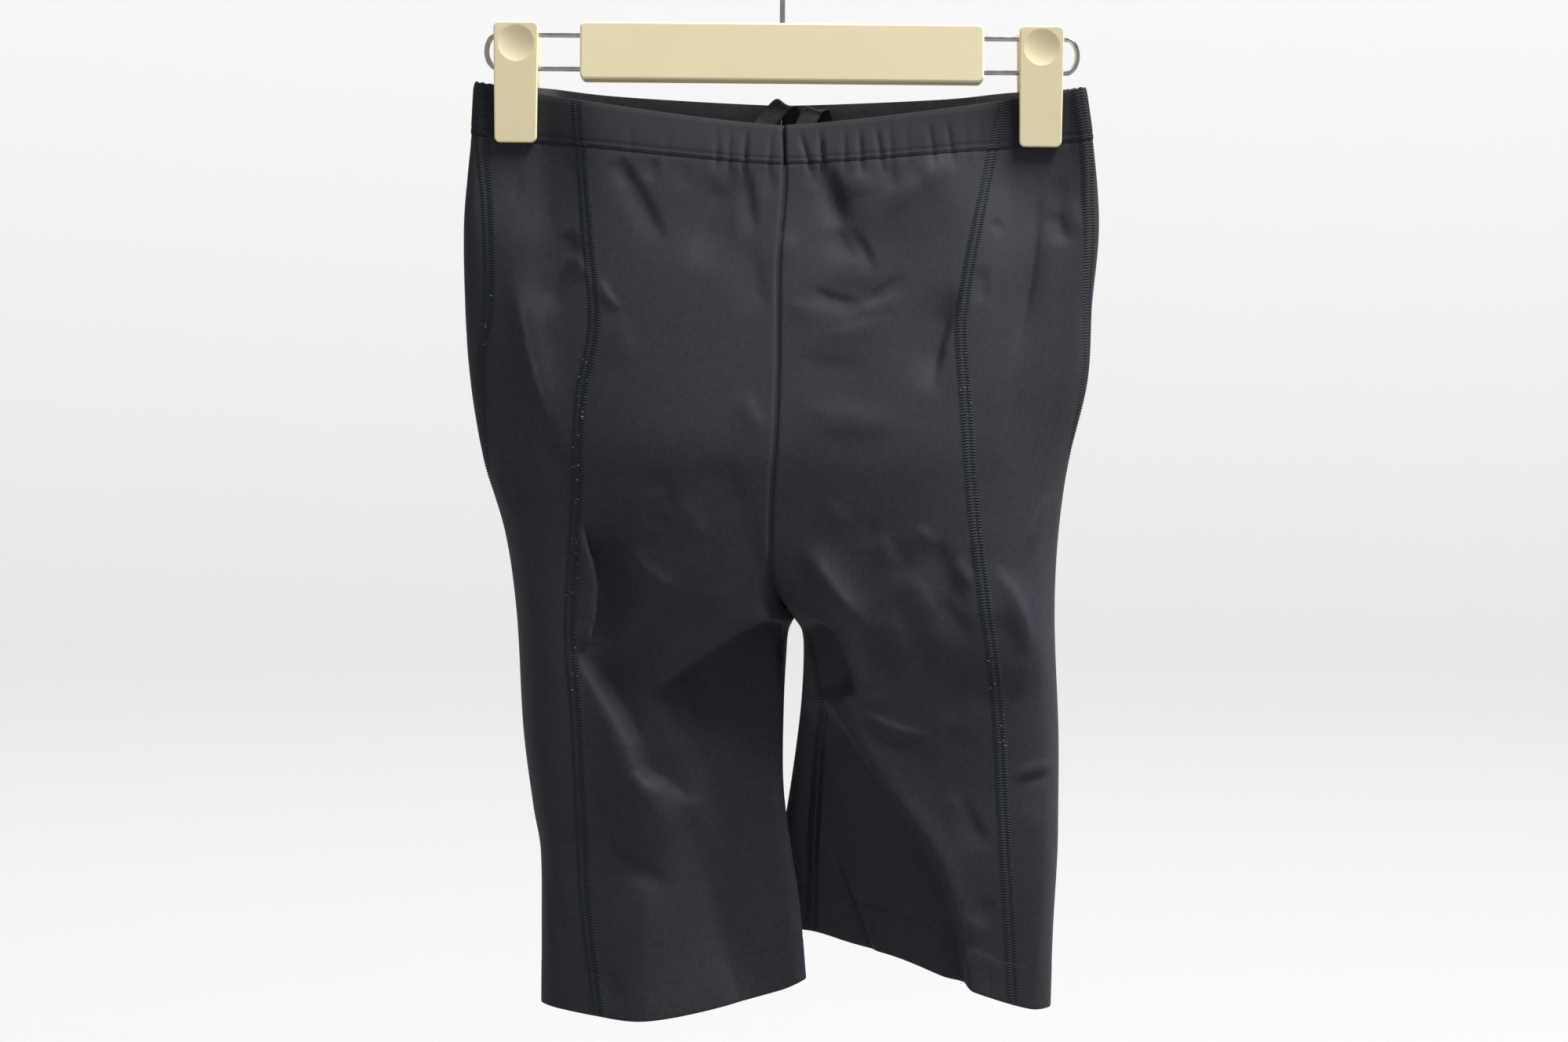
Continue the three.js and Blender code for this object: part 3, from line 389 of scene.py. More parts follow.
DEPTHS = table(
    "z front rear edge side_round inner_round",
    (-117, 8, 14, 5.5, 6, 18), (-145, 16.5, 17, 5.8, 6.5, 18), (-200, 25.5, 21, 7.5, 10, 18),
    (-250, 34, 25, 8.5, 12, 18), (-300, 42.3, 29, 9, 13, 18), (-315, 43.5, 30, 9, 13, 18),
    (-330, 42.7, 30.5, 9, 13, 18), (-350, 41, 31, 9, 13, 18), (-400, 36.6, 28, 9, 12, 18),
    (-450, 31.9, 24, 8, 11, 12), (-500, 28.2, 20, 7.5, 10, 8), (-550, 25.7, 17, 7.5, 10, 7),
    (-605, 24.4, 16, 7.5, 10, 7),
)
CRESTS = table(
    "z left right peak",
    (-117, 20, 20, 2.2), (-350, 22, 22, 2.2), (-410, 50, 32, 1.8), (-434, 64, 34, 1.5),
    (-484, 70, 56, 1.35), (-542, 68, 88, 1.3), (-605, 66, 92, 1.4),
)

# %% [markdown]
# ## Folds and creases
#
# The big folds come from the imported model: a ridge or a trough along a line, with a soft bell as its section
# and a bend where the line bows. Three of them are very wide, and only turn a whole panel a little to the
# light. Real cloth also has many small, sharp creases, and those are listed here: below the casing,
# beside the seams, round the crotch and behind the knees. A few folds are one-sided, like the lips of cloth
# that bulge over the inside of each thigh: the surface drops back past a line and comes out again slowly. The
# drop of a lip and the fading of its ends are pairs, for where its line starts and where it stops.

# %% Soft folds and fine creases of the front layer
FRONT_FOLDS = table(
    "x1 z1 x2 z2 bend width depth",
    (-20, -156, -40, -222, 0, 9, -2.2), (15, -157, 42, -222, -3, 9, -2.0),
    (100, -160, 46, -199, 3, 9, 1.5), (12, -232, 62, -234, -3, 8, -0.9),
    (14, -250, 64, -246, -4, 9, 0.6), (-140, -206, -114, -316, 3, 9, 2.8),
    (-151, -186, -138, -330, 2, 9, -2), (-108, -196, -124, -246, 0, 8, -1.9),
    (138, -154, 120, -274, -3, 7, -3), (144, -150, 148, -204, 0, 6, -3),
    (93, -222, 78, -286, 2, 6, -2.6), (-128, -156, -122, -206, 0, 6, -1.6),
    (110, -370, 132, -442, -9, 11, 3.2), (12, -356, 50, -408, 3, 9, 3.4),
    (-94, -508, -52, -550, -3, 9, -2.8), (-20, -512, -12, -600, 4, 10, -3),
    (-36, -440, -18, -660, 0, 30, -5), (124, -285, 140, -640, 0, 24, 12),
    (-128, -285, -118, -640, 0, 22, 9),
)
FRONT_CREASES = table(
    "x1 z1 x2 z2 bend width depth",
    # under the casing, left of the middle
    (-20.5, -159, -14, -202, -1, 2.6, -1.5), (-22, -160, -48, -222, 2, 2.8, -0.9),
    (-16, -196, -6, -246, 2, 4.5, -1.0), (-88, -157, -60, -208, -2, 3.4, -1.6),
    (-85, -157, -78, -174, 0, 3, -1.0), (-65, -158, -69, -172, 0, 2.4, -0.8),
    (-116, -152, -109, -170, 0, 2.6, -1.0), (-52, -158, -50, -176, 0, 3, -0.4),
    (-8, -158, -4, -180, 0, 3, -0.6), (-36, -158, -30, -178, 0, 3, 0.6),
    # under the casing, right of the middle
    (21.5, -158, 31, -196, -2.5, 3.2, -2.0), (27, -166, 32, -200, -1, 3.6, -1.4),
    (28, -192, 40, -214, 1, 3.4, -1.2), (34, -194, 49, -222, -3, 2.2, -1.0),
    (96, -155, 52, -186, 2, 3.8, 1.4), (88, -156, 70, -166, 1, 3, 1.0),
    (56, -158, 61, -176, 0, 2.4, -0.7), (38, -164, 46, -178, 0, 5, 0.9),
    (20, -158, 18, -176, 0, 2.4, -0.7),
    # the smile-shaped fold and the wrinkles around it
    (13, -226, 46, -236, 2, 2.6, -1.1), (40, -236, 66, -216, 2, 2.6, -0.9),
    (40, -240, 64, -228, 1.5, 2.4, 0.7), (2, -234, 24, -240, 1, 3.4, 0.6),
    (20, -253, 60, -240, 2, 3.2, 0.6), (4, -262, 50, -268, 3, 5, -0.6), (2, -290, 66, -296, 2, 7, 1.0),
    (10, -304, 70, -306, 2, 6, -0.8), (-4, -200, 10, -208, 1, 6, 0.9),
    # beside the right front seam
    (94, -226, 78.5, -282, 2, 2.2, -2.0), (97, -228, 83, -280, 2, 3, 0.9),
    (107, -212, 106, -236, 0, 2.6, -1.0), (110, -194, 117, -189, 0, 2, -0.8),
    (76, -352, 97, -402, -3, 4.2, -1.6), (70, -350, 84, -362, 0, 3.2, 1.0),
    (92, -366, 102, -384, 0, 3, 1.3), (80, -384, 104, -412, 0, 3.6, -1.2),
    (62, -372, 84, -404, -2, 5, 1.3),
    # the right side panel
    (137.5, -155, 121, -270, -3.5, 2.2, -1.6), (134, -160, 117, -270, -3.5, 3.6, 1.0),
    (145.5, -150, 147, -186, -2, 2.8, -1.8), (145, -182, 150, -202, -1, 2.8, -1.4),
    (151, -172, 158, -198, 0, 4, 1.4), (122, -156, 119, -178, 0, 3, -0.7),
    (117, -262, 112, -330, 0, 5, 0.8), (146, -326, 129, -368, 1, 2.6, 1.3),
    (149, -336, 138, -372, 1, 2.4, -0.8), (150, -330, 146, -356, 0, 2, 0.8),
    (107, -366, 134, -424, -7, 2.8, 1.6), (134, -416, 126, -442, 1, 3, 1.0),
    (112, -392, 124, -428, -3, 5, -1.2), (122, -487, 150, -480, -2, 1.9, -1.2),
    (122, -482, 150, -475, -2, 2.8, 0.9), (122, -500, 148, -506, 0, 6, 0.6),
    # the left side panel
    (-139.5, -216, -117, -304, 4, 2.0, 1.2), (-143, -222, -122, -304, 4, 3.4, -0.8),
    (-140, -154, -139, -184, 0, 2.4, -1.4), (-112, -196, -107, -212, 0, 3.0, -1.1),
    (-110, -213, -124, -240, 0, 2.8, -1.1), (-109, -208, -99, -224, 0, 2.2, 0.7),
    (-152, -318, -139, -350, 1, 2.8, 1.4), (-154, -300, -146, -330, 0, 3, -0.8),
    (-124, -300, -110, -330, 1, 4, -1.0), (-130, -392, -128, -440, 1, 6, -0.6),
    # the belly and the left bulge
    (-96, -220, -82, -240, 1.5, 1.9, 1.0), (-84, -240, -76, -270, 1, 5, 0.6),
    (-20, -280, -8, -306, 0, 3.4, 0.9), (-66, -318, -54, -350, 0, 5, -0.9),
    (-72, -350, -54, -348, 0, 3, -0.8), (-70, -338, -56, -334, 0, 3, 0.6),
    (-50, -334, -36, -362, 1, 4.5, 0.9), (-30, -312, -16, -352, 1, 6, -1.0),
    (-84, -356, -44, -388, 4, 3.0, 1.1), (-70, -352, -62, -366, 0, 3.4, -0.8),
    (-62, -388, -30, -398, 1, 6, -0.5), (-40, -392, -16, -384, 0, 5, 0.5),
    (-74, -402, -50, -422, 1, 6, 0.7), (-14, -340, -8, -386, 1, 4, -0.8),
    # the right bulge
    (14, -360, 47, -402, 2, 2.6, 1.3), (6, -362, 24, -390, 2, 5, -1.4), (50, -352, 62, -374, 0, 3, 0.9),
    (44, -344, 54, -362, 0, 3, -0.6), (22, -338, 40, -352, 0, 4, 0.6), (60, -356, 70, -380, 0, 4, -0.7),
    (56, -392, 66, -424, -1, 5, 0.9), (72, -404, 80, -436, -1, 5, -0.8),
    (46, -404, 56, -436, -1, 6, -0.8), (40, -445, 82, -461, 3, 2.4, 1.6),
    (42, -450, 80, -466, 3, 3.2, -1.2), (42, -446, 60, -438, -1, 2.6, 0.9),
    (84, -452, 100, -424, 2, 5, -1.0), (92, -462, 104, -438, 2, 4, 0.8),
    (64, -470, 86, -476, 0, 5, -0.6),
    # the legs
    (-97, -440, -79, -484, -2, 4, 0.7), (-74, -486, -50, -512, -3, 5, 1.8),
    (-98, -484, -78, -510, 0, 4.2, -1.6), (-92, -512, -56, -546, -3, 3.8, -1.6),
    (-84, -516, -56, -538, -2, 3, 1.0), (-88, -534, -58, -550, -2, 3, 0.5),
    (-24, -520, -12, -580, 3, 3.6, -1.4), (-8, -500, 8, -560, 0, 4, 1.4),
    (-40, -500, -34, -548, 0, 6, -1.0), (-122, -536, -116, -582, 1, 2.6, 1.2),
    (-116, -530, -112, -576, 1, 3.6, -0.8), (-90, -580, -78, -606, 0, 4, -0.9),
    (29, -530, 36, -572, 1, 4.0, -0.5), (42, -488, 44, -574, -1, 5, 1.6),
    (52, -500, 58, -566, 0, 6, -1.2), (95, -492, 112, -520, 0, 3, -1.2),
    (86, -488, 104, -508, 0, 3.2, 0.7), (96, -552, 116, -564, 1, 2.6, 0.6),
    (84, -562, 108, -570, 1, 3, -1.2), (102, -572, 122, -584, 0, 2.6, 0.5),
    (104, -546, 118, -552, 0, 3, -0.7),
)

# %% Lips of cloth that lap over a hollow on their right, going along the line
FRONT_LIPS = {
    "left flap beside the bulge": {
        "line": [
            (-106, -423), (-99, -412), (-96, -398), (-95, -384), (-97, -371), (-101, -359), (-106, -350),
        ],
        "drop": (9, 9), "edge": 6, "reach": 15, "tuck": 4, "rim": 1.0, "ends": (0.22, 0.22),
    },
    "left flap beside the hollow": {
        "line": [
            (-40, -512), (-52, -499), (-62, -491), (-70, -487), (-75, -480), (-78, -467), (-85, -454),
            (-93, -441), (-100, -430), (-107, -421), (-112, -414),
        ],
        "drop": (13, 12), "edge": 9, "reach": 46, "tuck": 0.8, "rim": 0.4, "ends": (0.22, 0.22),
    },
    "left bulge": {
        "line": [
            (-93, -444), (-84, -441), (-70, -436.5), (-58, -431), (-40, -420), (-22, -408), (-10, -401.5),
            (2, -399), (8, -400),
        ],
        "drop": (16, 27), "edge": 8, "reach": 260, "tuck": 6, "rim": 0.8, "ends": (0.5, 0.12),
    },
    "right bulge": {
        "line": [(10, -399), (22, -400), (30, -403), (33, -410), (37, -420), (40, -430), (44, -440)],
        "drop": (10, 9), "edge": 6, "reach": 24, "tuck": 4, "rim": 1.0, "ends": (0.2, 0.2),
    },
    "right flap": {
        "line": [
            (22, -430), (26, -438), (31, -448), (38, -458), (46, -470), (58, -487), (68, -500), (78, -515),
            (88, -532), (93, -546), (97, -560), (102, -585), (106, -612), (109, -645),
        ],
        "drop": (12, 9), "edge": 7, "reach": 110, "tuck": 3.4, "rim": 1.0, "ends": (0.15, 0.15),
    },
}
REAR_LIPS = {
    "left leg": {
        "line": [(-94, -440), (-72, -432), (-46, -418), (-24, -407), (-6, -402)],
        "drop": (6, 6), "edge": 8, "reach": 40, "tuck": 3, "rim": 0.8, "ends": (0.25, 0.25),
    },
    "right leg": {
        "line": [(8, -402), (26, -408), (50, -421), (76, -436), (100, -444)],
        "drop": (6, 6), "edge": 8, "reach": 40, "tuck": 3, "rim": 0.8, "ends": (0.25, 0.25),
    },
}

# %% Soft folds and fine creases of the rear layer
REAR_FOLDS = table(
    "x1 z1 x2 z2 bend width depth",
    (22, -150, 40, -224, 0, 9, -3), (-30, -150, -52, -216, 0, 9, -3), (118, -156, 108, -236, 0, 9, -3),
    (-120, -156, -112, -232, 0, 9, -3), (70, -290, 122, -362, -6, 13, 3.5),
    (-72, -286, -124, -360, 6, 13, 3.5), (60, -490, 96, -570, 0, 14, 3.5),
    (-52, -496, -86, -576, 0, 14, 3.5),
)
REAR_CREASES = table(
    "x1 z1 x2 z2 bend width depth",
    (20, -156, 34, -198, 2, 2.8, -1.6), (34, -156, 56, -190, 2, 2.8, -1.2),
    (-26, -156, -44, -196, -2, 2.8, -1.6), (-46, -156, -52, -184, 0, 2.6, -1.0),
    (70, -156, 72, -186, 0, 3, -0.9), (-78, -156, -72, -190, 0, 3, -1.0),
    (104, -156, 98, -190, 0, 2.8, -1.1), (-104, -156, -108, -184, 0, 2.8, -1.0),
    (132, -154, 124, -204, 2, 2.4, -1.5), (-136, -154, -126, -204, -2, 2.4, -1.5),
    (12, -206, 22, -262, 0, 5, 0.9), (-18, -202, -26, -266, 0, 5, 0.9), (36, -246, 90, -272, 4, 5, -0.8),
    (-42, -242, -92, -272, -4, 5, -0.8), (80, -280, 126, -338, -5, 3.4, -1.4),
    (-84, -276, -130, -332, 5, 3.4, -1.4), (10, -348, 58, -378, 4, 3.6, -1.5),
    (-6, -352, -52, -384, -4, 3.6, -1.5), (16, -372, 70, -402, 4, 3.2, 1.4),
    (-4, -378, -66, -406, -4, 3.2, 1.4), (40, -440, 110, -452, 4, 3.2, 1.4),
    (-36, -438, -106, -456, -4, 3.2, 1.4), (36, -450, 110, -462, 4, 3, -1.4),
    (-30, -450, -104, -466, -4, 3, -1.4), (50, -470, 106, -488, 3, 3.4, -1.2),
    (-36, -468, -98, -490, -3, 3.4, -1.2), (62, -490, 90, -546, 2, 4, -1.0),
    (-48, -494, -76, -550, -2, 4, -1.0), (110, -476, 124, -540, 0, 4, 0.9),
    (-104, -476, -114, -542, 0, 4, 0.9), (28, -510, 38, -574, 0, 3, -1.2),
    (-18, -510, -28, -582, 0, 3, -1.2), (84, -210, 96, -280, 2, 4, -0.9),
    (-86, -206, -98, -276, -2, 4, -0.9),
)


# %% How folds change the depth of a layer
FOLD_ENDS = 0.4
LIGHT_SIDE = (0.35, 1)
SLACK_SIDE = 2.2


def fold_depth(folds, x, z):
    """Ridges and troughs along bowed lines, which fade out at their ends and are slacker below."""
    total = np.zeros_like(x)
    for x1, z1, x2, z2, bend, width, depth in zip(*folds.values()):
        dx, dz = x2 - x1, z2 - z1
        length = math.hypot(dx, dz)
        along = np.clip(((x - x1) * dx + (z - z1) * dz) / length**2, 0, 1)
        across = ((x - x1) * dz - (z - z1) * dx) / length - bend * 4 * along * (1 - along)
        upward = np.sign(across) * (dz * LIGHT_SIDE[0] - dx * LIGHT_SIDE[1])
        wide = np.where(upward < 0, SLACK_SIDE * width, width)
        fade = ease(along, 0, FOLD_ENDS) * ease(1 - along, 0, FOLD_ENDS)
        total += depth * fade * np.exp(-((across / wide) ** 2))
    return total


def beside_lip(line, x, z):
    """Distance to the right of a line of points, the way back to it, and how far along it one is."""
    line = np.array(line, float)
    steps = np.diff(line, axis=0)
    lengths = np.linalg.norm(steps, axis=1)
    travelled = np.concatenate([[0], np.cumsum(lengths)])
    best = np.full(x.shape, np.inf)
    sign, along, back_x, back_z = (np.zeros_like(x) for _ in range(4))
    for i, ((dx, dz), length) in enumerate(zip(steps, lengths)):
        t = np.clip(((x - line[i, 0]) * dx + (z - line[i, 1]) * dz) / length**2, 0, 1)
        away_x, away_z = x - line[i, 0] - t * dx, z - line[i, 1] - t * dz
        distance = np.hypot(away_x, away_z)
        nearer = distance < best
        best = np.where(nearer, distance, best)
        sign = np.where(nearer, np.sign(away_x * dz - away_z * dx), sign)
        along = np.where(nearer, (travelled[i] + t * length) / travelled[-1], along)
        back_x, back_z = np.where(nearer, away_x, back_x), np.where(nearer, away_z, back_z)
    scale = np.maximum(best, 1e-6)
    return sign * best, back_x / scale, back_z / scale, along


LIP_BLEND = 4
RIM_SETBACK = 2
TUCK_SPREAD = 0.6


def lap(lips, x, z):
    """How far the hollows beside the lips drop, and the sideways tuck of cloth under each lip."""
    drop, rise, tuck_x, tuck_z = (np.zeros_like(x) for _ in range(4))
    for lip in lips.values():
        right, away_x, away_z, along = beside_lip(lip["line"], x, z)
        fade = ease(along, 0, lip["ends"][0]) * ease(1 - along, 0, lip["ends"][1])
        beyond = np.maximum(right - lip["edge"], 0) / lip["reach"]
        full = lip["drop"][0] + (lip["drop"][1] - lip["drop"][0]) * along
        drop += (full * fade * ease(right, 0, lip["edge"]) * np.exp(-(beyond**2))) ** LIP_BLEND
        rise = np.maximum(rise, lip["rim"] * fade * np.exp(-(((right + RIM_SETBACK) / lip["edge"]) ** 2)))
        under = np.exp(-(((right / lip["edge"] - 1) / TUCK_SPREAD) ** 2))
        tuck = np.where(right > 0, lip["tuck"] * fade * under, 0)
        tuck_x, tuck_z = tuck_x - tuck * away_x, tuck_z - tuck * away_z
    return drop ** (1 / LIP_BLEND) - rise, tuck_x, tuck_z


# %% A point of the cloth from its turn and row
def leg_closure(row_z):
    """0 in the body, 1 from the crotch down."""
    return 1 - np.clip((row_z - CROTCH_Z) / UNDERCURVE_HEIGHT, 0, 1)


def spread(t, closure):
    """Spaces points closer together where the cloth turns round a fold."""
    return (1 - closure) * np.sin(np.pi * t / 2) + closure * (1 - np.cos(np.pi * t)) / 2


def row_ends(side, front, row_z):
    """Where a layer of one half starts and ends, as distances out from the middle plane."""
    seam = np.where(front, read(CENTRE_SEAM, "front", row_z), read(CENTRE_SEAM, "rear", row_z))
    middle = np.where(row_z > CROTCH_Z, seam, read(INNER_FOLDS, HALF[side], row_z))
    return side * middle + SEAM_GAP / 2, read(SIDE_FOLDS, HALF[side], row_z)


def row_height(side, front, out, outer, row_z):
    """The height of a point once the waist has dipped and the hem has slanted."""
    dip = np.where(front, FRONT_WAIST_DIP, REAR_WAIST_DIP)
    casing_share = 1 + (CASING_DIP_SHARE - 1) * np.clip((WAIST_Z - row_z) / CASING_HEIGHT, 0, 1)
    panel_share = 1 - ease(CASING_END - row_z, 0, WAIST_DIP_REACH)
    across = np.clip(np.abs(out) / outer, 0, 1) ** WAIST_DIP_POWER
    slant = read(HEM_LINES[HALF[side]], "z", out, "out") - HEM_Z
    hem_share = ease(-row_z, -HEM_SLANT_START_Z, -HEM_START)
    return row_z - dip * (1 - across) * casing_share * panel_share + slant * hem_share


def folded(front, x, z):
    """What the folds add to the depth, and how far they move the cloth sideways and up."""
    depth, move_x, move_z = (np.zeros_like(x) for _ in range(3))
    for here, folds, creases, lips in (
        (front, FRONT_FOLDS, FRONT_CREASES, FRONT_LIPS), (~front, REAR_FOLDS, REAR_CREASES, REAR_LIPS),
    ):
        at_x, at_z = x[here], z[here]
        drop, move_x[here], move_z[here] = lap(lips, at_x, at_z)
        depth[here] = fold_depth(folds, at_x, at_z) + fold_depth(creases, at_x, at_z) - drop
    return depth, move_x, move_z


def layer_depth(side, front, out, inner, outer, row_z, z, form):
    x = side * out
    half = HALF[side]
    edge = read(DEPTHS, "edge", row_z)
    crest = np.where(front, read(CRESTS, half, row_z), REAR_LEG_CREST)
    power = np.where(front, read(CRESTS, "peak", row_z), REAR_LENS_POWER)
    full = np.where(front, read(DEPTHS, "front", row_z), read(DEPTHS, "rear", row_z))
    leg_share = ease(-row_z, -INNER_FALL[0], -INNER_FALL[1])
    outward = np.clip((out - crest) / (outer - crest), 0, 1)
    inward = np.clip((crest - out) / (crest - inner), 0, 1)
    inner_edge = edge + (INNER_EDGE_DEPTH - edge) * leg_share
    depth = full - (full - edge) * outward**power - (full - inner_edge) * leg_share * inward**power
    least = np.minimum(edge, LEAST_DEPTH)
    depth = depth + form
    depth = least + LEAST_SOFTNESS * np.logaddexp(0, (depth - least) / LEAST_SOFTNESS)
    aside = np.maximum(np.abs(x - CLIP_X[side]) - CLIP_WIDTH / 2, 0) / PINCH_SIDE_REACH
    below = np.maximum(CLIP_BOTTOM_Z - z, 0) / PINCH_DOWN_REACH
    pinch = np.exp(-(aside**2) - below**2)
    return depth + (PINCH_DEPTH - depth) * pinch


def cloth_point(side, turn, row_z):
    """The outside of one half of the garment, in millimetres."""
    turn, row_z = np.broadcast_arrays(np.asarray(turn, float), np.asarray(row_z, float))
    wrapped = np.where(row_z > CROTCH_Z, np.clip(turn, 0, 1), turn - np.floor(turn))
    front = wrapped <= 0.5
    closure = leg_closure(row_z)
    inner, outer = row_ends(side, front, row_z)
    share = spread(np.where(front, 2 * wrapped, 2 - 2 * wrapped), closure)
    out = inner + (outer - inner) * share
    z = row_height(side, front, out, outer, row_z)
    inner_round = read(DEPTHS, "inner_round", row_z)
    x = side * out
    form, move_x, move_z = folded(front, x, z)
    depth = layer_depth(side, front, out, inner, outer, row_z, z, form)
    depth = depth * quarter_round(out - inner + inner_round * (1 - closure), inner_round)
    depth = depth * quarter_round(outer - out, read(DEPTHS, "side_round", row_z))
    overlap = LEG_LAP_DEPTH * ease(-row_z, -CROTCH_Z, -LEG_LAP_END_Z) * (1 - share)
    room = ease(np.minimum(out - inner, outer - out), 0, TUCK_ROOM)
    y = side * overlap + np.where(front, -depth, depth)
    return np.stack([x + room * move_x, y, z + room * move_z], -1)


# %% The outward direction, and the surface with its sewn relief
NORMAL_TURN = 0.002
NORMAL_DROP = 0.4


def cloth_normal(side, turn, row_z):
    turn, row_z = np.broadcast_arrays(np.asarray(turn, float), np.asarray(row_z, float))
    body = row_z > CROTCH_Z
    ahead = np.where(body, np.minimum(turn + NORMAL_TURN, 1), turn + NORMAL_TURN)
    behind = np.where(body, np.maximum(turn - NORMAL_TURN, 0), turn - NORMAL_TURN)
    up = np.where(~body & (row_z > CROTCH_Z - NORMAL_DROP), 0, NORMAL_DROP)
    down = np.where(body & (row_z - NORMAL_DROP < CROTCH_Z), 0, NORMAL_DROP)
    across = cloth_point(side, ahead, row_z) - cloth_point(side, behind, row_z)
    rise = cloth_point(side, turn, row_z + up) - cloth_point(side, turn, row_z - down)
    normal = side * np.cross(across, rise)
    normal[body & ((turn < NORMAL_TURN) | (turn > 1 - NORMAL_TURN)), 0] = 0
    return unit(normal)


# %% [markdown]
# ## Sewn relief
#
# The waist casing is cloth folded over elastic, so it stands a little proud, gathers in soft puckers and is
# held down by two rows of stitches. The hems are folded too, with one row. The plain seam down the middle
# pulls its edges in. All of this is less than a millimetre high, yet it is what the eye reads as sewing, so
# it is added to the surface before anything is cut from it.

# %% Puckers of the casing, listed one by one
FRONT_PUCKERS = table(
    "top low width depth",
    (-34, -34, 1.5, 0.6), (-27, -27.5, 1.3, 0.7), (-18, -19.5, 1.4, 1.5), (-5, -6.5, 1.2, 0.7),
    (8.5, 14.5, 1.3, 1.2), (20, 21.5, 1.4, 1.8), (33, 33.5, 1.3, 0.7), (40.5, 42, 1.4, 1.1),
    (49, 52.5, 1.3, 1.0), (57, 58, 1.3, 0.6), (66, 66.5, 1.6, 0.3), (77, 80, 1.3, 0.9),
    (86, 90, 1.3, 0.9), (97, 97.5, 1.4, 0.35), (105, 105.5, 1.4, 0.4), (-60, -60, 2.2, 0.2),
    (-80, -79, 2.4, 0.25), (152, 153, 1.8, 0.4),
)
REAR_PUCKERS = table(
    "top low width depth",
    (-150, -151, 2.2, 0.6), (-118, -117, 2.2, 0.7), (-108, -109, 1.8, 0.8), (-97, -96, 2.4, 0.7),
    (-88, -89, 2.0, 0.9), (-76, -75, 2.2, 0.7), (-67, -68, 1.8, 0.9), (-55, -54, 2.4, 0.8),
    (-45, -46, 2.0, 1.0), (-34, -34, 2.2, 0.7), (-25, -24, 1.8, 0.9), (-13, -14, 2.2, 1.0),
    (11, 12, 2.2, 1.0), (22, 21, 1.8, 0.8), (32, 33, 2.4, 0.9), (44, 43, 2.0, 0.7),
    (53, 54, 2.2, 1.0), (65, 64, 1.8, 0.8), (75, 76, 2.4, 0.9), (87, 86, 2.0, 0.7),
    (96, 97, 2.2, 0.9), (107, 106, 1.8, 0.7), (117, 118, 2.2, 0.7), (149, 150, 2.2, 0.6),
)
PUCKER_START = 2.5
PUCKER_FULL = 20
PUCKER_FADE = 12
PUCKER_RUN = 1.5

CASING_PUFF = 0.45
CASING_STITCHES = (24.0, 27.4)
STITCH_GROOVE = 0.26
STITCH_GROOVE_WIDTH = 0.85
EDGE_ROUND = 1.3
PUFF_RISE = 4
PUFF_FALL = 1
HEM_BLEND = 3
HEM_PUFF = 0.12
HEM_STITCH = 0.7
HEM_GROOVE = 0.16
CENTRE_GROOVE = 2.4
CENTRE_GROOVE_WIDTH = 0.9
CENTRE_GROOVE_STOP = 6
RIPPLE_START_X = 150
RIPPLE_PITCH = 3.4
RIPPLE_RISE = 0.7
RIPPLE_FADE = 3
RIPPLE_DEPTH = 5


def pucker_depth(puckers, x, down):
    """How deep the gathers are at a distance down from the waist edge."""
    total = np.zeros_like(x)
    for top, low, width, depth in zip(*puckers.values()):
        line = top + (low - top) * np.clip(down / CASING_HEIGHT, 0, PUCKER_RUN)
        total += depth * np.exp(-(((x - line) / width) ** 2))
    gathered = total * ease(down, PUCKER_START, PUCKER_FULL)
    return gathered * (1 - ease(down, CASING_HEIGHT, CASING_HEIGHT + PUCKER_FADE))


def groove(distance, width=STITCH_GROOVE_WIDTH):
    return np.exp(-((distance / width) ** 2))


def sewn_relief(side, turn, row_z, place):
    """How far the sewing lifts the cloth, in millimetres."""
    x = place[..., 0]
    down = WAIST_Z - row_z
    above_hem = row_z - HEM_Z
    front = (turn - np.floor(turn)) <= 0.5
    puckers = np.where(front, pucker_depth(FRONT_PUCKERS, x, down), pucker_depth(REAR_PUCKERS, x, down))
    puff = CASING_PUFF * ease(down, 0, PUFF_RISE) * (1 - ease(down, CASING_HEIGHT - PUFF_FALL, CASING_HEIGHT))
    stitches = STITCH_GROOVE * sum(groove(down - line) for line in CASING_STITCHES)
    rim = EDGE_ROUND / 2 * (1 - quarter_round(down, EDGE_ROUND))
    rim = rim + EDGE_ROUND / 2 * (1 - quarter_round(above_hem, EDGE_ROUND))
    hem = HEM_PUFF * (1 - ease(above_hem, HEM_HEIGHT - HEM_BLEND, HEM_HEIGHT + HEM_BLEND))
    hem = hem - HEM_GROOVE * groove(above_hem - HEM_HEIGHT + HEM_STITCH)
    inner, _ = row_ends(side, front, row_z)
    from_centre = side * x - inner
    pulled_in = CENTRE_GROOVE * groove(from_centre, CENTRE_GROOVE_WIDTH)
    centre = np.where(row_z > CROTCH_Z + CENTRE_GROOVE_STOP, pulled_in, 0)
    return puff + hem - stitches - rim - puckers - centre


def surface(side, turn, row_z, lift=0.0):
    """Points on the sewn surface, moved out by a lift, and the outward directions there."""
    turn, row_z = np.broadcast_arrays(np.asarray(turn, float), np.asarray(row_z, float))
    place = cloth_point(side, turn, row_z)
    normal = cloth_normal(side, turn, row_z)
    out = sewn_relief(side, turn, row_z, place) + lift
    place = place + normal * out[..., None]
    beyond = np.abs(place[..., 0]) - RIPPLE_START_X
    ripple = np.abs(np.sin(np.pi * beyond / RIPPLE_PITCH)) * ease(beyond, 0, RIPPLE_FADE)
    place[..., 2] += RIPPLE_RISE * ripple * (1 - ease(WAIST_Z - row_z, 0, RIPPLE_DEPTH))
    return place, normal


# %% Where the seams run, as turns
HALVINGS = 30
TURN_PROBE = 0.001


